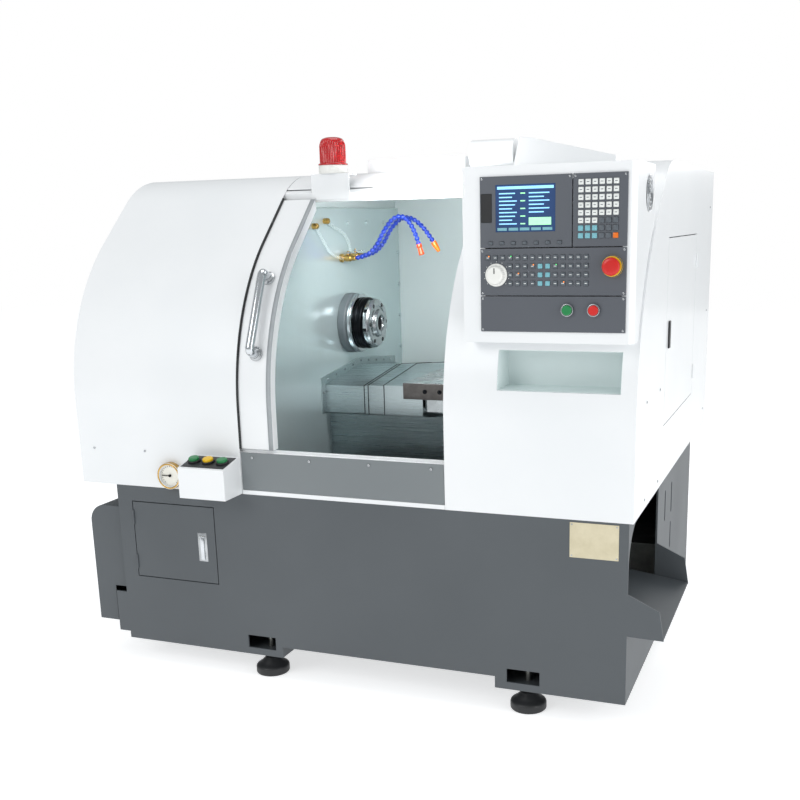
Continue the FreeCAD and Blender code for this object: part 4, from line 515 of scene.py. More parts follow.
def side_line(inset, steps=40):
    """The covers' side view as (y, z) rows: front edge, arc of radius R - inset through the rake angle,
    straight, arc of radius r - inset up to the roof, and the roof to the rear."""
    s = sizes()
    front, base = low("left_cover", "y"), low("left_cover", "z")
    rear, top = high("left_cover", "y"), high("left_cover", "z")
    bend_start = (top - s.brow_radius * (1 - math.sin(s.rake)) - s.rake_length * math.cos(s.rake)
                  - s.bend_radius * math.sin(s.rake))
    brow_y = (front + s.bend_radius * (1 - math.cos(s.rake)) + s.rake_length * math.sin(s.rake)
              + s.brow_radius * math.cos(s.rake))
    bend, brow = s.bend_radius - inset, s.brow_radius - inset
    a = np.linspace(0, s.rake, steps)
    b = np.linspace(s.rake, np.pi / 2, steps // 2)
    first = np.stack([front + s.bend_radius - bend * np.cos(a), bend_start + bend * np.sin(a)], 1)
    second = np.stack([brow_y - brow * np.cos(b), top - s.brow_radius + brow * np.sin(b)], 1)
    return np.vstack([[front + inset, base], first, second, [rear, top - inset]])


def levelled(line, levels):
    """The line with an exact row added wherever it rises through one of the levels."""
    for level in levels:
        after = int(np.argmax(line[:, 1] > level + 1e-7))
        if after > 0:
            a, b = line[after - 1], line[after]
            line = np.insert(line, after, a + (b - a) * (level - a[1]) / (b[1] - a[1]), axis=0)
    return line


def above(line, level):
    """The part of the line that is at or above a level."""
    line = levelled(line, [level])
    return line[line[:, 1] >= level - 1e-7]


def before(line, y):
    """The part of the line in front of a depth, with an exact last row."""
    after = int(np.argmax(line[:, 0] > y))
    a, b = line[after - 1], line[after]
    return np.vstack([line[:after], a + (b - a) * (y - a[0]) / (b[0] - a[0])])


def wrapped(line, across, holes=()):
    """Sheet that carries a side line across X: (x, y(s), z(s)); quads inside a hole (x0, x1, z0, z1) go."""
    across = np.array(sorted(across), float)
    points = np.empty((len(line), len(across), 3))
    points[..., 0] = across
    points[..., 1:] = line[:, None]
    points, faces = grid(points)
    at = points[faces].mean(1)
    keep = np.ones(len(faces), bool)
    for x0, x1, z0, z1 in holes:
        keep &= ~((at[:, 0] > x0) & (at[:, 0] < x1) & (at[:, 2] > z0) & (at[:, 2] < z1))
    return points, faces[keep]


def returned(line, other, x, right):
    """A folded edge: quads between two side lines at one X, facing right or left."""
    points = np.empty((len(line), 2, 3))
    points[..., 0] = x
    points[:, 0, 1:] = line
    points[:, 1, 1:] = other
    return grid(points, flip=not right)


def end_wall(x, right, hole=None):
    """The flat end under the side line: z = min(level, roof height at y), with a door opening left out."""
    line = side_line(0)[1:]
    base = low("left_cover", "z")
    ys = line[:, 0]
    levels = [base, line[0, 1]]
    if hole:
        ys = np.sort(np.concatenate([ys, hole[:2]]))
        levels = sorted(levels + list(hole[2:]))
    roof = np.interp(ys, line[:, 0], line[:, 1])
    z = np.vstack([np.minimum(np.array(levels)[:, None], roof), roof])
    points = np.empty(z.shape + (3,))
    points[..., 0], points[..., 1], points[..., 2] = x, ys, z
    points, faces = grid(points, flip=not right)
    if hole:
        at = points[faces].mean(1)
        inside = (at[:, 1] > hole[0]) & (at[:, 1] < hole[1]) & (at[:, 2] > hole[2]) & (at[:, 2] < hole[3])
        faces = faces[~inside]
    return points, faces


class LATHE_OT_covers(bpy.types.Operator):
    """The left cover, the right column and the roof: folded white sheet with rounded edges."""

    bl_idname = "lathe.covers"
    bl_label = "Covers"

    def execute(self, context):
        s = sizes()
        left, door_line = low("left_cover", "x"), high("left_cover", "x")
        column, right = low("right_cover", "x"), high("right_cover", "x")
        inset = 0.01
        y, z = middle("chuck_body")[1:]
        bar_hole = 0.031
        thing = piece("left_cover_sheet", joined(
            wrapped(side_line(0), [left, left + inset, door_line - inset, door_line]),
            end_wall(left, False, (y - bar_hole, y + bar_hole, z - bar_hole, z + bar_hole))),
            "white_enamel", "left_cover", sheet=s.sheet_wall, bevel=s.fold_radius)
        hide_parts("left_cover")
        guide = eased([(bar_hole, 0.004), (bar_hole, -0.003), (0.047, -0.003), (0.050, -0.0002), (0.050, 0.004)],
                      0.0015)
        piece("bar_guide", turned(guide, (left, y, z), (1, 0, 0), 64), "black_plastic", "left_cover")
        # the niche's opening, a margin round the record's clear room, and the side door's opening with its gap
        room = next(o["box_m"] for o in frame["record"]["physics"]["openings"] if o["name"] == "niche")
        margin = 0.008
        tray_x = (room[0][0] - margin, room[1][0] + margin)
        tray_z = (room[0][2] - margin, room[1][2] + margin)
        gap = 0.003
        door = (low("electrical_door", "y") - gap, high("electrical_door", "y"),
                low("electrical_door", "z") - gap, high("electrical_door", "z") + gap)
        line = levelled(side_line(0), tray_z)
        thing = piece("right_cover_sheet", joined(
            wrapped(line, [column, column + inset, *tray_x, right - inset, right], [(*tray_x, *tray_z)]),
            end_wall(right, True, door)), "white_enamel", "right_cover", sheet=s.sheet_wall,
            bevel=s.fold_radius)
        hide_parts("right_cover")
        self.roof(s)
        refined("rear_cover", "white_enamel", 0.001)
        refined("electrical_door", "white_enamel", 0.0015)
        refined("electrical_latch", "black_plastic", 0.0015)
        refined("inner_liners", "lining_enamel", 0.0004)
        refined("wall_plate", "bright_steel", 0.0012)
        refined("electrical_panel", "zinc_steel", 0.002)
        return {"FINISHED"}

    def roof(self, s):
        x = (high("left_cover", "x") + 0.002, low("right_cover", "x") - 0.001)
        line = side_line(0)
        start = low("left_cover", "y") + 0.410
        rows = line[line[:, 0] > start]
        roof = piece("roof_sheet", wrapped(rows, [x[0], x[0] + 0.01, x[1] - 0.01, x[1]]), "white_enamel",
                     "roof_panel", sheet=s.sheet_wall, bevel=0.001)
        lows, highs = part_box("roof_panel")
        back = lows[1] + 0.09
        shape = np.array([(lows[1], lows[2]), (back, lows[2]), (back, 1.580), (lows[1] + 0.016, 1.580),
                          (lows[1], 1.570)])
        ends = [np.column_stack([np.full(5, x), shape]) for x in (lows[0], highs[0])]
        middles = [np.repeat(end.mean(0)[None], 5, 0) for end in ends]
        beam = piece("header_beam", grid(np.stack([middles[0], *ends, middles[1]]), wrap=True), "white_enamel",
                     "roof_panel", bevel=0.0008)
        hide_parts("roof_panel")
        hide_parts("roof_panel")


class LATHE_OT_sliding_door(bpy.types.Operator):
    """The curved sliding door: folded skin, grey seal strip on the edge, pane seals, a black tube that paints the
    shadow in the left cover's seam, clear pane, shoes and tube handle.
    """

    bl_idname = "lathe.sliding_door"
    bl_label = "Sliding door"

    def execute(self, context):
        s = sizes()
        left, right = low("door_shell", "x"), high("door_shell", "x")
        stile = right - s.door_width
        border = 0.08
        front = low("door_shell", "y")
        inset = front - low("left_cover", "y")
        bottom = low("left_cover", "z") + 0.148
        top_y = high("door_shell", "y")
        pane_z = (bottom + 0.1, 1.52)
        line = before(above(side_line(inset), bottom), top_y)
        back = before(above(side_line(inset + s.door_depth), bottom), top_y)
        rows = min(len(line), len(back))
        line, back = line[:rows], back[:rows]
        edge = line
        line = levelled(line, pane_z)
        skin = wrapped(line, [left, left + 0.01, left + border, stile, right - 0.01, right],
                       [(left + border, stile, *pane_z)])
        thing = piece("door_skin", joined(skin, returned(edge, back, right, True),
                                          returned(edge, back, left, False)),
                      "white_enamel", "door_shell", sheet=0.003, bevel=0.0022)
        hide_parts("door_shell")
        rail_y, rail = low("left_cover", "y") + 0.023, high("sill_frame", "z") - 0.0067
        shoes = [between((x, rail_y + side, rail), (x + 0.06, rail_y + side + 0.0045, bottom + 0.001), 0.0008)
                 for x in (left + 0.07, stile - 0.08) for side in (-0.011, 0.0065)]
        piece("door_shoes", joined(*shoes), "black_plastic", "door_shell")
        self.trim(line, right)
        self.pane(left + border, stile, inset, pane_z, top_y)
        self.handle(s, inset)
        return {"FINISHED"}

    def trim(self, line, right):
        """A grey strip that follows the stile's inner edge, and beside it a black rubber tube along the left cover's
        edge that paints the shadow the cover casts into the seam.
        """
        outer = line - np.array([0.0016, 0])
        strip = wrapped(outer, [right - 0.016, right - 0.0005])
        piece("door_edge_strip", strip, "grey_seal", "door_shell", sheet=0.0018)
        # painted shadow: a black rubber tube along the left cover's edge stands for the shadow the cover casts into
        # the seam over the door
        seam = before(above(side_line(0.0045), line[0, 1]), line[-1, 0])
        path = np.column_stack([np.full(len(seam), high("left_cover", "x") + 0.0012), seam])
        piece("left_cover_seam_shadow_tube", swept(path, 0.0042, 12, (1, 0, 0)), "rubber_seal_and_shade_tube", "left_cover")

    def pane(self, left, stile, inset, pane_z, top_y):
        lap = 0.015
        line = before(above(side_line(inset + 0.0032), pane_z[0] - lap), top_y - 0.025)
        thing = piece("door_pane", wrapped(line, [left - lap, stile + lap]), "clear_sheet", "door_window",
                      sheet=0.0046)
        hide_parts("door_window")
        ring = [(left, z) for z in np.linspace(*pane_z, 30)]
        path = [np.array([x, np.interp(z, line[:, 1], line[:, 0]) - 0.004, z]) for x, z in ring]
        other = [p + np.array([stile - left, 0, 0]) for p in path]
        for name, run in (("left", path), ("right", other)):
            piece("pane_seal_" + name, swept(run, 0.0035, 10, (1, 0, 0)), "rubber_seal_and_shade_tube", "door_window")

    def handle(self, s, inset):
        """A bent chromed tube: straight legs square to the door, quadratic bends, and a straight grip."""
        lows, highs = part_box("door_handle")
        x = (lows[0] + highs[0]) / 2
        radius, reach = 0.014, 0.045
        door_radius = s.bend_radius - inset
        start = side_line(inset)[1]
        centre = np.array([start[0] + door_radius, start[1]])
        ends = []
        for rise in (0.449, 0.674):
            z = low("left_cover", "z") + rise
            turn = math.asin((z - centre[1]) / door_radius)
            out = np.array([0, -math.cos(turn), math.sin(turn)])
            seat = np.array([x, *centre]) + out * door_radius
            ends.append((seat, out))
        (a, da), (b, db) = ends
        path = eased([a, a + da * reach, b + db * reach, b], 0.042, 14)
        grip = piece("handle_tube", swept(path, radius, 28, (1, 0, 0)), "chrome_plate", "door_handle")
        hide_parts("door_handle")
        for index, (seat, out) in enumerate(ends):
            profile = eased([(0, 0.0003), (0.023, 0.0003), (0.023, 0.006), (0.0155, 0.009), (0.0155, 0.016),
                             (0.0139, 0.017)], 0.002)
            piece("handle_flange_%d" % index, turned(profile, seat, out, 40), "satin_steel", "door_handle")


# ---------------------------------------------------------------- base

class LATHE_OT_base(bpy.types.Operator):
    """The welded base with its end cover, access door, sill, chute, tank, feet and name plate."""

    bl_idname = "lathe.base"
    bl_label = "Base"

    def execute(self, context):
        refined("base_frame", "grey_enamel", 0.002)
        refined("left_end_cover", "grey_enamel", 0.002)
        refined("chip_chute", "grey_enamel", 0.0008)
        refined("base_door", "grey_enamel", 0.0015)
        refined("sill_panel", "sill_enamel", 0.0008)
        refined("sill_frame", "white_enamel", 0.001)
        refined("coolant_tank", "zinc_steel", 0.003)
        refined("name_plate", "name_plate", 0.0003)
        self.feet()
        self.latch()
        return {"FINISHED"}

    def feet(self):
        """Four turned levelling feet: a domed pad, a jam nut of six flats and a stud."""
        lows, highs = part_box("levelling_feet")
        radius, stud, top = 0.056, 0.010, low("base_frame", "z")
        profile = eased([(0, 0), (radius - 0.003, 0), (radius, 0.004), (radius, 0.026), (radius - 0.016, 0.036),
                         (0.026, 0.050), (0.022, 0.056), (0, 0.056)], 0.006, 6)
        rod = [(0, 0.05), (stud, 0.05), (stud, highs[2] - 0.002), (stud - 0.002, highs[2]), (0, highs[2])]
        pads, nuts, studs = [], [], []
        for x in (lows[0] + radius, highs[0] - radius):
            for y in (lows[1] + radius, highs[1] - radius):
                pads.append(turned(profile, (x, y, 0), (0, 0, 1), 64))
                studs.append(turned(rod, (x, y, 0), (0, 0, 1), 24))
                nuts.append(turned([(0, 0), (0.0185, 0), (0.0205, 0.002), (0.0205, 0.010), (0.0185, 0.0122),
                                    (0, 0.0122)], (x, y, top - 0.0125), (0, 0, 1), 6))
        thing = piece("foot_pads", joined(*pads), "foot_iron", "levelling_feet")
        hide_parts("levelling_feet")
        piece("foot_nuts", joined(*nuts), "zinc_steel", "levelling_feet")
        piece("foot_studs", joined(*studs), "zinc_steel", "levelling_feet")

    def latch(self):
        """A pull latch: a thin flat plate with a chromed lever on a pin over it."""
        lows, highs = np.array(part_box("base_latch"))
        lever = between(lows + [0.007, 0.0004, 0], highs - [0.007, 0.0004, 0.006], 0.0018)
        pin = swept([(lows[0] + 0.003, highs[1] - 0.0026, highs[2] - 0.006),
                     (highs[0] - 0.003, highs[1] - 0.0026, highs[2] - 0.006)], 0.0022, 14, (0, 0, 1))
        thing = piece("base_latch_lever", joined(lever, pin), "chrome_plate", "base_latch")
        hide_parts("base_latch")
        plate = between((lows[0] - 0.003, highs[1] - 0.0001, lows[2] - 0.006),
                        (highs[0] + 0.003, highs[1] + 0.0006, highs[2] + 0.006), 0.0003)
        piece("base_latch_plate", plate, "satin_steel", "base_door")


# ---------------------------------------------------------------- spindle and slides

class LATHE_OT_spindle(bpy.types.Operator):
    """The headstock, the spindle and the collet chuck with its wrench slots and face screws."""

    bl_idname = "lathe.spindle"
    bl_label = "Spindle"

    def execute(self, context):
        y, z = middle("chuck_body")[1:]
        bore = 0.024
        lows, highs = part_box("chuck_body")
        x, end = lows[0], highs[0]
        self.ring("chuck_flange", [(bore, 0), (0.099, 0), (0.105, 0.003), (0.105, 0.013), (0.100, 0.018),
                                   (0.078, 0.018), (0.078, end - x), (bore, end - x), (bore, 0)],
                  x, y, z, "chrome_plate", "chuck_body")
        x = low("chuck_ring", "x")
        self.ring("chuck_clamp_ring", [(0.078, 0), (0.088, 0), (0.092, 0.004), (0.092, 0.012), (0.0905, 0.0135),
                                       (0.0905, 0.0165), (0.092, 0.018), (0.092, 0.030), (0.088, 0.034),
                                       (0.078, 0.034), (0.078, 0)], x, y, z, "black_oxide", "chuck_ring")
        x = low("collet", "x")
        self.ring("chuck_face", [(bore, 0), (0.081, 0), (0.087, 0.005), (0.087, 0.019), (0.080, 0.028),
                                 (0.062, 0.028), (0.060, 0.0255), (0.050, 0.0255), (0.048, 0.028),
                                 (0.046, 0.037), (0.042, 0.040), (0.030, 0.040), (0.0255, 0.036), (bore, 0.030),
                                 (bore, 0)], x, y, z, "satin_steel", "collet")
        self.face_details(x, y, z)
        refined("headstock", "cast_grey", 0.004)
        refined("spindle_shaft", "satin_steel", 0.0005)
        refined("spindle_motor", "cast_grey", 0.003)
        refined("motor_pulley", "satin_steel", 0.0005)
        refined("drive_belt", "belt_rubber")
        return {"FINISHED"}

    def ring(self, name, profile, x, y, z, finish, node):
        """A turned ring about the spindle's axis, rounded at its corners."""
        rounded = eased(profile, 0.0012, 4)
        thing = piece(name, turned(rounded, (x, y, z), (1, 0, 0), 96), finish, node)
        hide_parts(node)

    def face_details(self, x, y, z):
        """Six socket screws on a circle, eight wrench slots round the rim, and three slits in the collet mouth."""
        t = np.arange(6) * np.pi / 3
        centres = np.stack([np.full(6, x + 0.0262), y + 0.071 * np.cos(t), z + 0.071 * np.sin(t)], 1)
        piece("chuck_screws", repeated(screw_head((1, 0, 0), 0.0075, 0.003, 24), centres), "black_oxide",
              "collet")
        slots = []
        for angle in np.arange(8) * np.pi / 4 + 0.2:
            spin = np.array(Matrix.Rotation(angle, 3, "X"))
            points, faces = rounded_block((x + 0.012, 0.0868, 0), (0.012, 0.0022, 0.012), 0.001)
            slots.append(((points - [x, 0, 0]) @ spin.T + [x, y, z], faces))
        piece("chuck_wrench_slots", joined(*slots), "black_oxide", "collet")
        jaws = []
        for angle in np.arange(3) * np.pi * 2 / 3 + 0.5:
            spin = np.array(Matrix.Rotation(angle, 3, "X"))
            points, faces = rounded_block((x + 0.0395, 0.0335, 0), (0.0016, 0.017, 0.0016), 0.0005)
            jaws.append(((points - [x, 0, 0]) @ spin.T + [x, y, z], faces))
        piece("collet_slits", joined(*jaws), "black_oxide", "collet")


class LATHE_OT_slides(bpy.types.Operator):
    """The bed, saddle, cross slide, ball screws and folded way covers."""

    bl_idname = "lathe.slides"
    bl_label = "Slides"

    def execute(self, context):
        refined("bed", "cover_steel", 0.0008)
        refined("saddle", "cover_steel", 0.0008)
        refined("way_cover_middle", "cover_steel", 0.0004)
        refined("way_cover_outer", "cover_steel", 0.0004)
        refined("cross_slide", "ground_steel", 0.0012)
        for node, axis in (("z_screw", (1, 0, 0)), ("x_screw", (0, 1, 0))):
            self.screw(node, np.array(axis, float))
        self.flange()
        # painted shade: a black rubber tube along the edge of each nested way cover and the saddle stands for the
        # shaded gap between them
        for node, edge, grow in (("way_cover_middle", low("way_cover_middle", "x"), 0.0023),
                                 ("way_cover_outer", low("way_cover_outer", "x"), 0.0046),
                                 ("saddle", low("saddle", "x"), 0.0069)):
            line = eased(self.gable(edge + 0.0012, grow + 0.0002), 0.002)
            piece(node + "_gap_shade_tube", swept(line, 0.0017, 10, (1, 0, 0)), "rubber_seal_and_shade_tube", node)
        x0, x1 = low("cross_slide", "x"), high("cross_slide", "x")
        y, z = low("cross_slide", "y"), high("cross_slide", "z")
        # a thin dark brownish grey plate over the cross slide's front face
        piece("tool_bar_face", between((x0, y - 0.0008, z - 0.052), (x1, y + 0.0008, z - 0.0004), 0.0006),
              "dark_front_steel", "cross_slide")
        places = [(x0 + a, y - 0.0006, z - 0.026) for a in (0.075, 0.125, 0.225)]
        piece("tool_bar_screws", repeated(screw_head((0, -1, 0), 0.007, 0.003, 20), places), "black_oxide",
              "cross_slide")
        return {"FINISHED"}

    def gable(self, x, grow):
        """The way covers' end view at one X: upright front, low ridge, upright back, all a step outwards."""
        front, back = low("way_cover_middle", "y") + 0.0023, high("way_cover_middle", "y") - 0.0023
        foot, ridge = low("way_cover_middle", "z"), high("way_cover_middle", "z") - 0.0023
        middle_y, shoulder = front + 0.299, ridge - 0.035
        rows = [(front - grow, foot), (front - grow, shoulder + grow), (middle_y, ridge + grow),
                (back + grow, shoulder + grow), (back + grow, foot)]
        return np.array([(x, y, z) for y, z in rows])

    def flange(self):
        """The bolted strip where the covers meet the wall: quads between two steps of the gable line."""
        x = wall_face() + 0.004
        outer, inner = self.gable(x, 0.026), self.gable(x, 0.0004)
        piece("cover_flange", grid(np.stack([outer, inner]), flip=True), "cover_steel", "bed", sheet=0.004,
              bevel=0.0006)
        line, _ = even(self.gable(x, 0.014), 0.07)
        piece("flange_screws", repeated(screw_head((1, 0, 0), 0.0042, 0.0025), line[1:-1]), "satin_steel", "bed")

    def screw(self, node, axis):
        """A ball screw: radius = r - depth * (1 - |cos(pi a / pitch)|) along its length."""
        lows, highs = np.array(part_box(node))
        along = int(np.argmax(axis))
        length = highs[along] - lows[along]
        start = (lows + highs) / 2
        start[along] = lows[along]
        a = np.linspace(0, length, int(length / 0.0025))
        r = 0.0119 - 0.0016 * (1 - np.abs(np.cos(np.pi * a / 0.010)))
        profile = np.vstack([[0, 0], np.stack([r, a], 1), [0, length]])
        thing = piece(node + "_thread", turned(profile, start, axis, 24), "satin_steel", node)
        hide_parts(node)


# ---------------------------------------------------------------- coolant

def smooth_route(points):
    """Points along the NURBS curve of order 3 that has these control points and touches both ends."""
    curve = bpy.data.curves.new("route", "CURVE")
    curve.dimensions = "3D"
    spline = curve.splines.new("NURBS")
    spline.points.add(len(points) - 1)
    for index, point in enumerate(points):
        spline.points[index].co = (*point, 1)
    spline.order_u = 3
    spline.use_endpoint_u = True
    spline.resolution_u = 16
    thing = bpy.data.objects.new("route", curve)
    mesh = bpy.data.meshes.new_from_object(thing)
    line = np.empty(len(mesh.vertices) * 3)
    mesh.vertices.foreach_get("co", line)
    bpy.data.objects.remove(thing)
    bpy.data.meshes.remove(mesh)
    bpy.data.curves.remove(curve)
    return line.reshape(-1, 3)


def even(line, step):
    """The line with points a fixed step apart along its length."""
    run = np.concatenate([[0], np.cumsum(np.linalg.norm(np.diff(line, axis=0), axis=1))])
    s = np.linspace(0, run[-1], max(int(run[-1] / step), 2) + 1)
    return np.stack([np.interp(s, run, line[:, i]) for i in range(3)], 1), s


class LATHE_OT_coolant(bpy.types.Operator):
    """The two coolant lines: brass valves, jointed blue hoses, orange nozzles and clear feed tubes."""

    bl_idname = "lathe.coolant"
    bl_label = "Coolant lines"

    def execute(self, context):
        s = sizes()
        wall = wall_face()
        start_z = 1.352
        spindle = middle("chuck_body")[1]
        for index, (dy, dz) in enumerate(((-0.055, 0.0), (0.005, 0.006))):
            origin = np.array([wall, spindle + dy, start_z + dz])
            self.hose(s, index, origin)
            self.valve(index, origin)
            self.feed(index, origin)
        for node in ("valve_lever_front", "valve_lever_rear"):
            refined(node, "chrome_plate", 0.0006)
        return {"FINISHED"}

    def hose(self, s, index, origin):
        """Each link flares from its ball to its socket: r(s) follows one short list of radii per link."""
        rise = (0.138, 0.128)[index]
        reach = (0.0, 0.032)[index]
        steps = [(0.060, 0), (0.100, 0.004), (0.142, 0.040), (0.170, 0.092), (0.210, rise), (0.252, rise),
                 (0.286 + reach / 2, 0.088), (0.300 + reach, 0.040)]
        route = smooth_route([origin + np.array([x, 0, z]) for x, z in steps])
        shape = np.array([0.58, 0.62, 0.86, 0.98, 1.0, 0.98, 0.88, 0.66])
        line, run = even(route, s.link_pitch / len(shape))
        radius = s.hose_radius * shape[np.arange(len(line)) % len(shape)]
        hose = piece("coolant_hose_%d" % index, swept(line, radius, 20), "blue_hose", "coolant_lines")
        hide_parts("coolant_lines")
        end, before_end = line[-1], line[-6]
        aim = (end - before_end) / np.linalg.norm(end - before_end)
        profile = (eased([(0, -0.004), (0.0092, -0.004), (0.0094, 0.006), (0.0075, 0.010), (0.0098, 0.032),
                          (0.0088, 0.034), (0.0062, 0.016), (0, 0.014)], 0.001),
                   eased([(0, -0.004), (0.0098, -0.004), (0.0100, 0.008), (0.0062, 0.030), (0.0052, 0.034),
                          (0.0036, 0.034), (0.0036, 0.018), (0, 0.018)], 0.001))[index]
        piece("coolant_nozzle_%d" % index, turned(profile, end, aim, 28), ("flame_plastic", "orange_plastic")[index],
              "coolant_lines")

    def valve(self, index, origin):
        """A turned brass body with a round collar at the wall, and the lever's stem."""
        profile = eased([(0, 0.0005), (0.015, 0.0005), (0.015, 0.010), (0.0095, 0.012), (0.0095, 0.018),
                         (0.012, 0.021), (0.012, 0.040), (0.0092, 0.043), (0.0092, 0.056), (0.0075, 0.060),
                         (0, 0.060)], 0.0012)
        body = turned(profile, origin, (1, 0, 0), 32)
        stem = turned([(0, 0), (0.0039, 0), (0.0039, 0.0225), (0.003, 0.0238), (0, 0.0238)],
                      origin + [0.030, 0, 0], (0, 0, 1), 20)
        piece("coolant_valve_%d" % index, joined(body, stem), "brass_fitting", "coolant_lines")

    def feed(self, index, origin):
        """A clear tube in a shallow curve from its wall fitting down to the valve."""
        x = 0.011
        steps = (((x, -0.008, 0), (x, -0.060, 0.004), (x, -0.120, 0.030), (x, -0.170, 0.078),
                  (x, -0.205, 0.112)),
                 ((x, 0, 0.008), (x, -0.006, 0.048), (x, -0.060, 0.086), (x, -0.130, 0.100),
                  (x, -0.180, 0.122)))[index]
        line, _ = even(smooth_route([origin + np.array(step) for step in steps]), 0.006)
        piece("feed_tube_%d" % index, swept(line, 0.0058, 16, (1, 0, 0)), "clear_sheet", "coolant_lines")
        fitting = eased([(0, 0), (0.010, 0), (0.010, 0.016), (0.0075, 0.021), (0, 0.021)], 0.001)
        piece("feed_fitting_%d" % index, turned(fitting, [origin[0], line[-1][1], line[-1][2]], (1, 0, 0), 24),
              "brass_fitting", "coolant_lines")


# ---------------------------------------------------------------- control pendant

def disc(profile, x, z, sides=48):
    """A turned cap that faces the operator: the profile's second number runs out of the panel's face."""
    return turned(eased(profile, 0.0012, 4), (x, panel_face(), z), (0, -1, 0), sides)


class LATHE_OT_pendant(bpy.types.Operator):
    """The control pendant: its box, plates, display, keys, knob, stop button and cooling fan."""

    bl_idname = "lathe.pendant"
    bl_label = "Control pendant"

    def execute(self, context):
        refined("pendant_box", "white_enamel", 0.0018)
        refined("panel_plates", "panel_black", 0.0006)
        refined("display_bezel", "panel_black", 0.0008)
        refined("card_flap", "black_plastic", 0.0005)
        self.display()
        self.keypad()
        self.controls()
        self.knobs()
        self.fan()
        return {"FINISHED"}

    def display(self):
        """The glass with its lit fields: a header bar, two columns of rows, and a foot bar."""
        refined("screen", "screen_glass")
        x0, x1, z0, z1 = low("screen", "x"), high("screen", "x"), low("screen", "z"), high("screen", "z")
        y = low("screen", "y")

        def field(a, b, c, d):
            """A lit field between fractions of the glass's width and height."""
            return between((x0 + a * (x1 - x0), y - 0.0003, z0 + c * (z1 - z0)),
                           (x0 + b * (x1 - x0), y + 0.0002, z0 + d * (z1 - z0)), 0.0001)

        piece("screen_header", field(0.03, 0.97, 0.90, 0.96), "lamp_blue", "screen")
        rows = np.linspace(0.16, 0.80, 9)
        left = [field(0.06, 0.06 + w, r, r + 0.025) for r, w in zip(rows, np.tile([0.30, 0.22, 0.27], 3))]
        right = [field(0.56, 0.56 + w, r, r + 0.025) for r, w in zip(rows[3:], np.tile([0.25, 0.34], 3))]
        piece("screen_rows", joined(*left, *right), "lamp_blue", "screen")
        piece("screen_values", joined(*[field(0.42, 0.50, r, r + 0.025) for r in rows[::2]],
                                      field(0.56, 0.93, 0.14, 0.30)), "lamp_white", "screen")
        piece("screen_foot", joined(*[field(0.03 + 0.19 * i, 0.19 + 0.19 * i, 0.03, 0.09) for i in range(5)]),
              "key_cyan", "screen")

    def keys(self, name, node, places, size, finish):
        """Round-edged caps at each place, as high as the CAD keys."""
        y0, y1 = low(node, "y"), high(node, "y") - 0.003
        cap = rounded_block((0, 0, 0), (size[0], y1 - y0, size[1]), 0.0016)
        centres = [(x, (y0 + y1) / 2, z) for x, z in places]
        thing = piece(name, repeated(cap, centres), finish, node)
        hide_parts(node)

    def keypad(self):
        x0, z1 = low("keypad_keys", "x") + 0.007, high("keypad_keys", "z") - 0.007
        places = [(x0 + 0.0186 * c, z1 - 0.0196 * r, r, c) for r in range(8) for c in range(6)]
        white = [(x, z) for x, z, r, c in places if r < 5 or (r == 5 and c < 3)]
        grey = [(x, z) for x, z, r, c in places if r >= 5 and c >= 3 and (r, c) != (7, 5)]
        cyan = [(x, z) for x, z, r, c in places if r > 5 and c < 3]
        self.keys("keypad_white", "keypad_keys", white, (0.014, 0.014), "key_white")
        self.keys("keypad_grey", "keypad_keys", grey, (0.014, 0.014), "key_grey")
        self.keys("keypad_cyan", "keypad_keys", cyan, (0.014, 0.014), "key_cyan")
        self.keys("keypad_orange", "keypad_keys", [(x0 + 0.093, z1 - 0.1372)], (0.014, 0.014), "orange_plastic")
        self.marks("keypad_marks", "keypad_keys", white, "key_grey")

    def marks(self, name, node, places, finish):
        """One short bar on each cap, in place of lettering."""
        y = low(node, "y")
        bar = between((-0.0034, -0.0002, -0.0009), (0.0034, 0.0002, 0.0009), 0.0001)
        piece(name, repeated(bar, [(x, y, z) for x, z in places]), finish, node)

    def controls(self):
        half_key, rows, row_pitch = 0.0065, 4, 0.023
        x0 = low("panel_keys", "x") + half_key
        z1 = low("panel_keys", "z") + half_key + (rows - 1) * row_pitch
        places = [(x0 + 0.021 * c, z1 - row_pitch * r, r, c) for r in range(rows) for c in range(14)
                  if r == 0 or c > 2]
        lit = {(0, 0), (0, 3), (1, 6), (2, 4), (1, 9), (3, 10)}
        dark = [(x, z) for x, z, r, c in places if not (c in (7, 8) and r > 0)]
        cyan = [(x, z) for x, z, r, c in places if c in (7, 8) and r > 0]
        self.keys("control_dark", "panel_keys", dark, (0.013, 0.013), "key_grey")
        self.keys("control_cyan", "panel_keys", cyan, (0.013, 0.013), "key_cyan")
        soft = [(x0 + 0.008 + 0.032 * i, high("panel_keys", "z") - 0.004) for i in range(7)]
        self.keys("soft_keys", "panel_keys", soft, (0.012, 0.008), "key_grey")
        self.marks("control_marks", "panel_keys", dark, "key_white")
        y = low("panel_keys", "y")
        dot = turned([(0, 0), (0.0016, 0), (0.0016, 0.0005), (0.001, 0.0009), (0, 0.0009)], (0, 0, 0), (0, -1, 0), 14)
        amber = [(x + 0.003, y, z + 0.004) for x, z, r, c in places if (r, c) in lit and c % 2 == 0]
        green = [(x + 0.003, y, z + 0.004) for x, z, r, c in places if (r, c) in lit and c % 2]
        piece("control_lamps_amber", repeated(dot, amber), "lamp_orange", "panel_keys")
        piece("control_lamps_green", repeated(dot, green), "lamp_green", "panel_keys")

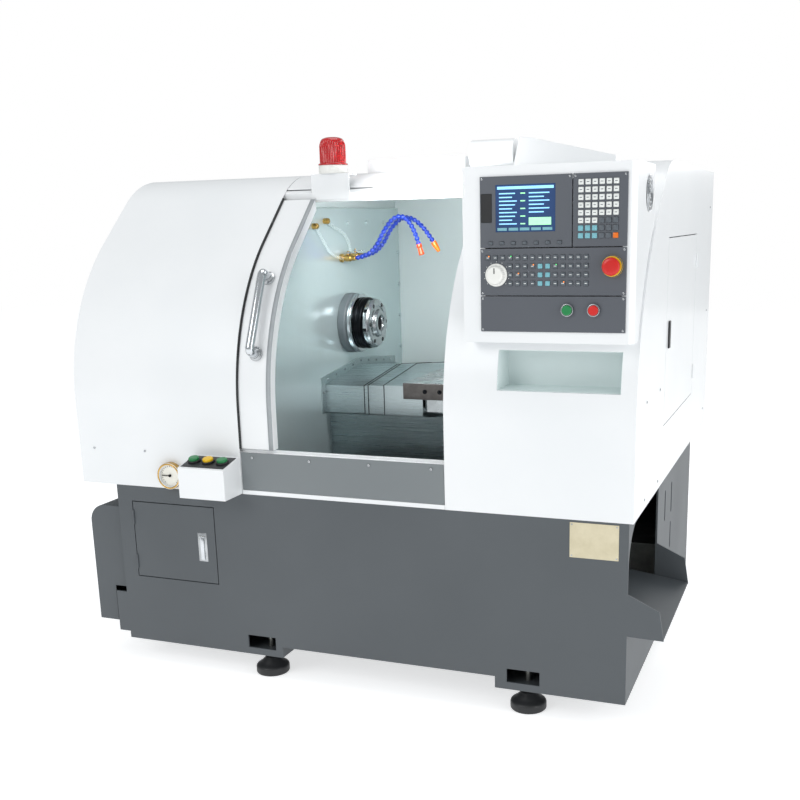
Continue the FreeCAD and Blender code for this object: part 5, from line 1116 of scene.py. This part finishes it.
    def knobs(self):
        """The fluted override knob, the stop button with its collar, and the two round push buttons."""
        face = panel_face()
        lows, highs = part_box("override_knob")
        x, z = (lows[0] + highs[0]) / 2, (lows[2] + highs[2]) / 2
        profile = eased([(0, 0.0004), (0.031, 0.0004), (0.031, 0.005), (0.0265, 0.008), (0.0235, 0.021),
                         (0.021, 0.0235), (0, 0.0235)], 0.0014, 4)
        points, faces = turned(profile, (x, face, z), (0, -1, 0), 144)
        about = points - [x, 0, z]
        reach = np.hypot(about[:, 0], about[:, 2])
        flute = 1 + 0.022 * np.cos(24 * np.arctan2(about[:, 2], about[:, 0]))
        at_rim = (reach > 0.022) & (reach < 0.030)
        points[:, [0, 2]] = [x, z] + about[:, [0, 2]] * np.where(at_rim, flute, 1)[:, None]
        knob = piece("knob_cap", (points, faces), "knob_white", "override_knob")
        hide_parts("override_knob")
        piece("knob_pointer", between((x - 0.0014, face - 0.0239, z + 0.004),
                                      (x + 0.0014, face - 0.0232, z + 0.019), 0.0003), "black_oxide", "override_knob")
        ring = 0.0355
        t = np.linspace(-2.3, 2.3, 11)
        ticks = np.stack([x + ring * np.sin(t), np.full(11, face - 0.0001), z + ring * np.cos(t)], 1)
        piece("knob_ticks", repeated(between((-0.001, -0.0002, -0.001), (0.001, 0.0003, 0.001), 0.0001), ticks),
              "key_white", "panel_plates")
        x, z = (middle("estop_button")[i] for i in (0, 2))
        head = piece("stop_head", disc([(0, 0.0108), (0.0205, 0.0108), (0.0238, 0.0135), (0.024, 0.019),
                                        (0.0215, 0.0235), (0.015, 0.025), (0, 0.0252)], x, z, 64), "red_plastic",
                     "estop_button")
        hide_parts("estop_button")
        piece("stop_collar", disc([(0.0134, 0.0002), (0.0292, 0.0002), (0.0292, 0.0045), (0.026, 0.0064),
                                   (0.0134, 0.0064), (0.0134, 0.0002)], x, z, 64), "yellow_plastic",
              "panel_plates")
        for node, finish in (("start_button", "green_plastic"), ("stop_button", "red_plastic")):
            x, z = (middle(node)[i] for i in (0, 2))
            cap = piece(node + "_cap", disc([(0, 0.005), (0.0138, 0.005), (0.0138, 0.0105), (0.012, 0.0128),
                                             (0, 0.0118)], x, z), finish, node)
            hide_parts(node)
            piece(node + "_ring", disc([(0.0144, 0.0002), (0.0184, 0.0002), (0.0184, 0.0062), (0.0168, 0.0083),
                                        (0.0144, 0.0083), (0.0144, 0.0002)], x, z), "satin_steel",
                  "panel_plates")
        x0, x1 = low("panel_plates", "x"), high("panel_plates", "x")
        edge, seam = 0.006, high("display_bezel", "x")
        places = [(x, face, low("panel_plates", "z") + rise) for x in (x0 + edge, x1 - edge)
                  for rise in (edge, 0.090, 0.105, 0.218)]
        places += [(x, face, high("panel_plates", "z") - edge)
                   for x in (seam + 0.009, x1 - edge, x0 + edge, seam - edge)]
        piece("panel_screws", repeated(screw_head((0, -1, 0), 0.0029, 0.0013), places), "satin_steel",
              "panel_plates")

    def fan(self):
        """The fan's rotor and its wire guard: rings of radius r about the fan's axis, and four spokes."""
        refined("fan_rotor", "black_plastic", 0.0003)
        x = high("pendant_box", "x") + 0.0025
        y, z = middle("fan_rotor")[1:]
        t = np.linspace(0, 2 * np.pi, 49)
        rings = [swept(np.stack([np.full(49, x), y + r * np.cos(t), z + r * np.sin(t)], 1), 0.0012, 8, (1, 0, 0))
                 for r in (0.012, 0.024, 0.036, 0.048)]
        spokes = [swept([(x - 0.001, y + 0.05 * math.cos(a), z + 0.05 * math.sin(a)),
                         (x - 0.001, y - 0.05 * math.cos(a), z - 0.05 * math.sin(a))], 0.0012, 8, (1, 0, 0))
                  for a in (0.7854, 2.3562)]
        piece("fan_guard", joined(*rings, *spokes), "chrome_plate", "pendant_box")


# ---------------------------------------------------------------- button station and gauge

class LATHE_OT_station(bpy.types.Operator):
    """The button station with its black slanted plate, and the round gauge beside it."""

    bl_idname = "lathe.station"
    bl_label = "Button station and gauge"

    def execute(self, context):
        refined("station_box", "white_enamel", 0.0012)
        lean = math.atan2(0.022, 0.1)
        normal = np.array([0, -math.sin(lean), math.cos(lean)])
        face = np.array([0, -0.820, 0.742])
        x0, x1 = high("station_box", "x") - 0.168, high("station_box", "x")
        rise = np.array([0, math.cos(lean), math.sin(lean)])
        points, faces = rounded_block(((x0 + x1) / 2, 0, 0.0007), (x1 - x0 - 0.012, 0.084, 0.0012), 0.0004)
        plate = (points[:, :1] * [1, 0, 0] + face + points[:, 1:2] * rise + points[:, 2:] * normal, faces)
        piece("station_plate", plate, "plate_black", "station_box")
        for node, finish in (("station_button_left", "green_plastic"), ("station_button_middle", "yellow_plastic"),
                             ("station_button_right", "green_plastic")):
            seat = face + [middle(node)[0], 0, 0]
            profile = eased([(0, 0.0049), (0.0165, 0.0049), (0.017, 0.007), (0.017, 0.0135), (0.0152, 0.016),
                             (0, 0.0154)], 0.0012)
            cap = piece(node + "_cap", turned(profile, seat, normal, 48), finish, node)
            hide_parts(node)
            bezel = eased([(0.0176, 0.0012), (0.0215, 0.0012), (0.0215, 0.0062), (0.0195, 0.0082),
                           (0.0176, 0.0082), (0.0176, 0.0012)], 0.0008)
            piece(node + "_bezel", turned(bezel, seat, normal, 48), "black_plastic", "station_box")
        self.gauge()
        return {"FINISHED"}

    def gauge(self):
        """A brass rim turned about the gauge's axis, a white dial with ticks every 15 degrees, and its needle."""
        x = low("station_box", "x") + 0.044
        z = middle("gauge_needle")[2]
        front = low("gauge_needle", "y") - 0.005
        rim = eased([(0.0362, 0.003), (0.0372, -0.0008), (0.042, -0.0012), (0.0446, 0.002), (0.0446, 0.021),
                     (0.0362, 0.021), (0.0362, 0.003)], 0.0016, 5)
        piece("gauge_rim", turned(rim, (x, front, z), (0, 1, 0), 80), "brass_fitting", "station_box")
        dial = turned([(0.0026, 0.0), (0.0358, 0.0)], (x, front + 0.0108, z), (0, 1, 0), 80)
        back = turned([(0.0358, 0.0006), (0.0026, 0.0006)], (x, front + 0.0108, z), (0, 1, 0), 80)
        piece("gauge_dial", joined(dial, back), "dial_white", "station_box", closed=False)
        t = np.arange(19) * np.radians(15) - np.radians(135)
        ticks = np.stack([x + 0.031 * np.sin(t), np.full(19, front + 0.0106), z + 0.031 * np.cos(t)], 1)
        piece("gauge_ticks", repeated(between((-0.0006, -0.0002, -0.0018), (0.0006, 0.0002, 0.0018), 0.0001),
                                      ticks), "black_oxide", "station_box")
        refined("gauge_needle", "black_oxide")


# ---------------------------------------------------------------- roof

class LATHE_OT_roof(bpy.types.Operator):
    """The red warning light on its bracket, the low hood, the wedge duct and the blower on the roof."""

    bl_idname = "lathe.roof"
    bl_label = "Roof parts"

    def execute(self, context):
        refined("beacon_base", "white_enamel", 0.001)
        refined("roof_housings", SLOT_OF["roof_housings"], 0.0025)
        lows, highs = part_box("beacon_lens")
        x, y = (lows[0] + highs[0]) / 2, (lows[1] + highs[1]) / 2
        skirt = eased([(0.0463, 0), (0.0475, 0.002), (0.0475, 0.024), (0.0463, 0.0265)], 0.0015)
        piece("beacon_skirt", turned(np.vstack([[0.044, 0], skirt, [0.044, 0.0265]]), (x, y, lows[2] - 0.027),
                                     (0, 0, 1), 72), "knob_white", "beacon_base")
        height = highs[2] - lows[2]
        profile = eased([(0, 0), (0.0485, 0), (0.0485, 0.0052), (0.0432, 0.0056), (0.0428, height - 0.024),
                         (0.036, height - 0.006), (0.021, height), (0, height)], 0.006, 8)
        ribs = sizes().lens_ribs
        points, faces = turned(profile, (x, y, lows[2]), (0, 0, 1), ribs * 6)
        about = points[:, :2] - [x, y]
        turn = np.arctan2(about[:, 1], about[:, 0])
        rise = np.clip((points[:, 2] - lows[2] - 0.006) / 0.004, 0, 1) * np.clip((highs[2] - 0.012 - points[:, 2])
                                                                                / 0.006, 0, 1)
        points[:, :2] = [x, y] + about * (1 - 0.055 * rise * np.abs(np.sin(turn * ribs / 2)))[:, None]
        lens = piece("beacon_dome", (points, faces), "red_lens", "beacon_lens", sharp=50)
        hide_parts("beacon_lens")
        return {"FINISHED"}


# ---------------------------------------------------------------- small parts and what is left

class LATHE_OT_fasteners(bpy.types.Operator):
    """Screw heads on the base, the sill and the covers, and finishes for the nodes left as they are."""

    bl_idname = "lathe.fasteners"
    bl_label = "Fasteners and inside parts"

    def execute(self, context):
        front = low("left_cover", "y")
        z = high("sill_frame", "z") - 0.023
        sill = [(x, front - 0.0002, z) for x in np.linspace(low("left_cover", "x") + 0.06, 0.29, 7)
                if x < -0.66 or x > -0.33]
        piece("sill_screws", repeated(screw_head((0, -1, 0), 0.0042, 0.002), sill), "satin_steel", "sill_frame")
        lows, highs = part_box("name_plate")
        rivets = [(x, lows[1], z) for x in (lows[0] + 0.006, highs[0] - 0.006)
                  for z in (lows[2] + 0.006, highs[2] - 0.006)]
        piece("plate_rivets", repeated(screw_head((0, -1, 0), 0.0024, 0.0012, 12), rivets), "satin_steel",
              "name_plate")
        end = high("right_cover", "x")
        side = [(end, y, z) for y in (-0.60, -0.36) for z in (0.66, 0.95)]
        side += [(end, 0.78, z) for z in (0.70, 1.10, 1.50)]
        piece("cover_screws", repeated(screw_head((1, 0, 0), 0.0042, 0.002), side), "satin_steel", "right_cover")
        lows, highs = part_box("left_end_cover")
        ends = [(lows[0], y, z) for y in (lows[1] + 0.05, highs[1] - 0.05) for z in (lows[2] + 0.03, highs[2] - 0.1)]
        piece("end_screws", repeated(screw_head((-1, 0, 0), 0.0042, 0.002), ends), "satin_steel",
              "left_end_cover")
        for node, thing in frame["nodes"].items():
            if thing.hide_render:
                continue
            thing.data.materials.clear()
            thing.data.materials.append(FINISH[SLOT_OF[node]])
        return {"FINISHED"}


# ---------------------------------------------------------------- stage

class LATHE_OT_stage(bpy.types.Operator):
    """The pale floor, the soft studio lights and the camera."""

    bl_idname = "lathe.stage"
    bl_label = "Stage"

    def execute(self, context):
        scene = bpy.context.scene
        reach = np.linspace(-14, 14, 3)
        points = np.stack(np.meshgrid(reach, reach, [0.0]), -1)[:, :, 0]
        mesh = bpy.data.meshes.new("floor")
        vertices, faces = grid(points, flip=False)
        mesh.from_pydata(vertices.tolist(), [], faces.tolist())
        mesh.materials.append(FINISH["stage"])
        floor = bpy.data.objects.new("floor", mesh)
        scene.collection.objects.link(floor)
        self.world(scene)
        for name, place, aim, size, power in (
                ("key", (-2.0, -5.0, 3.6), (0, 0, 0.9), 2.6, 80), ("fill", (4.6, -1.8, 2.0), (0, 0, 0.9), 2.6, 62),
                ("top", (0.2, -0.2, 4.6), (0, 0, 0.9), 2.6, 45), ("back", (1.6, 4.2, 3.0), (0, 0, 0.9), 2.6, 40),
                ("work", (0.12, -0.42, 1.52), (0.1, 0.1, 1.1), 0.3, 6)):
            light = bpy.data.lights.new(name, "AREA")
            light.size, light.energy = size, power
            source = bpy.data.objects.new(name, light)
            turn = (Vector(aim) - Vector(place)).to_track_quat("-Z", "Y").to_matrix().to_4x4()
            source.matrix_world = Matrix.Translation(place) @ turn
            scene.collection.objects.link(source)
        self.camera(scene)
        scene.view_settings.view_transform = "Standard"
        return {"FINISHED"}

    def world(self, scene):
        """A white backdrop that lights the machine less than it shows."""
        world = bpy.data.worlds.new("studio")
        world.use_nodes = True
        scene.world = world
        tree = world.node_tree
        tree.nodes.clear()
        seen = add(tree, "ShaderNodeBackground", {"Color": linear("#FFFFFF"), "Strength": 1.0})
        light = add(tree, "ShaderNodeBackground", {"Color": linear("#F4F8FA"), "Strength": 0.52})
        ray = add(tree, "ShaderNodeLightPath")
        both = add(tree, "ShaderNodeMixShader", {"Fac": ray.outputs["Is Camera Ray"], 1: light.outputs[0],
                                                 2: seen.outputs[0]})
        add(tree, "ShaderNodeOutputWorld", {"Surface": both.outputs[0]})

    def camera(self, scene):
        yaw, pitch, roll = 0.3716, 0.2406, -0.0239
        ahead = Vector((-math.sin(yaw) * math.cos(pitch), math.cos(yaw) * math.cos(pitch), -math.sin(pitch)))
        right = Vector((math.cos(yaw), math.sin(yaw), 0))
        up = right.cross(ahead)
        side = math.cos(roll) * right + math.sin(roll) * up
        over = math.cos(roll) * up - math.sin(roll) * right
        lens = bpy.data.cameras.new("camera")
        lens.lens, lens.shift_x, lens.shift_y = 47.456, -0.03444, 0.10342
        camera = bpy.data.objects.new("camera", lens)
        camera.matrix_world = Matrix((side, over, -ahead)).transposed().to_4x4()
        camera.location = (1.3891, -3.6213, 1.4626)
        scene.collection.objects.link(camera)
        scene.camera = camera


OPERATORS = (LATHE_OT_stage, LATHE_OT_covers, LATHE_OT_sliding_door, LATHE_OT_base, LATHE_OT_spindle,
             LATHE_OT_slides, LATHE_OT_coolant, LATHE_OT_pendant, LATHE_OT_station, LATHE_OT_roof,
             LATHE_OT_fasteners)


class LATHE_PT_panel(bpy.types.Panel):
    """Lists the lathe's sizes, colours and operators."""

    bl_label = "Turning lathe"
    bl_idname = "LATHE_PT_panel"
    bl_space_type = "VIEW_3D"
    bl_region_type = "UI"
    bl_category = "Lathe"

    def draw(self, context):
        for group in (context.scene.lathe_sizes, context.scene.lathe_colours):
            box = self.layout.box()
            for name in group.__annotations__:
                box.prop(group, name)
        for operator in OPERATORS:
            self.layout.operator(operator.bl_idname)


CLASSES = (LatheSizes, LatheColours, *OPERATORS, LATHE_PT_panel)


def register():
    for kind in CLASSES:
        bpy.utils.register_class(kind)
    bpy.types.Scene.lathe_sizes = PointerProperty(type=LatheSizes)
    bpy.types.Scene.lathe_colours = PointerProperty(type=LatheColours)


def unregister():
    del bpy.types.Scene.lathe_colours
    del bpy.types.Scene.lathe_sizes
    for kind in reversed(CLASSES):
        bpy.utils.unregister_class(kind)


def main():
    register()
    make_finishes(bpy.context.scene.lathe_colours)
    for operator in OPERATORS:
        name = operator.bl_idname.split(".")[1]
        getattr(bpy.ops.lathe, name)()


if __name__ == "__main__":
    main()
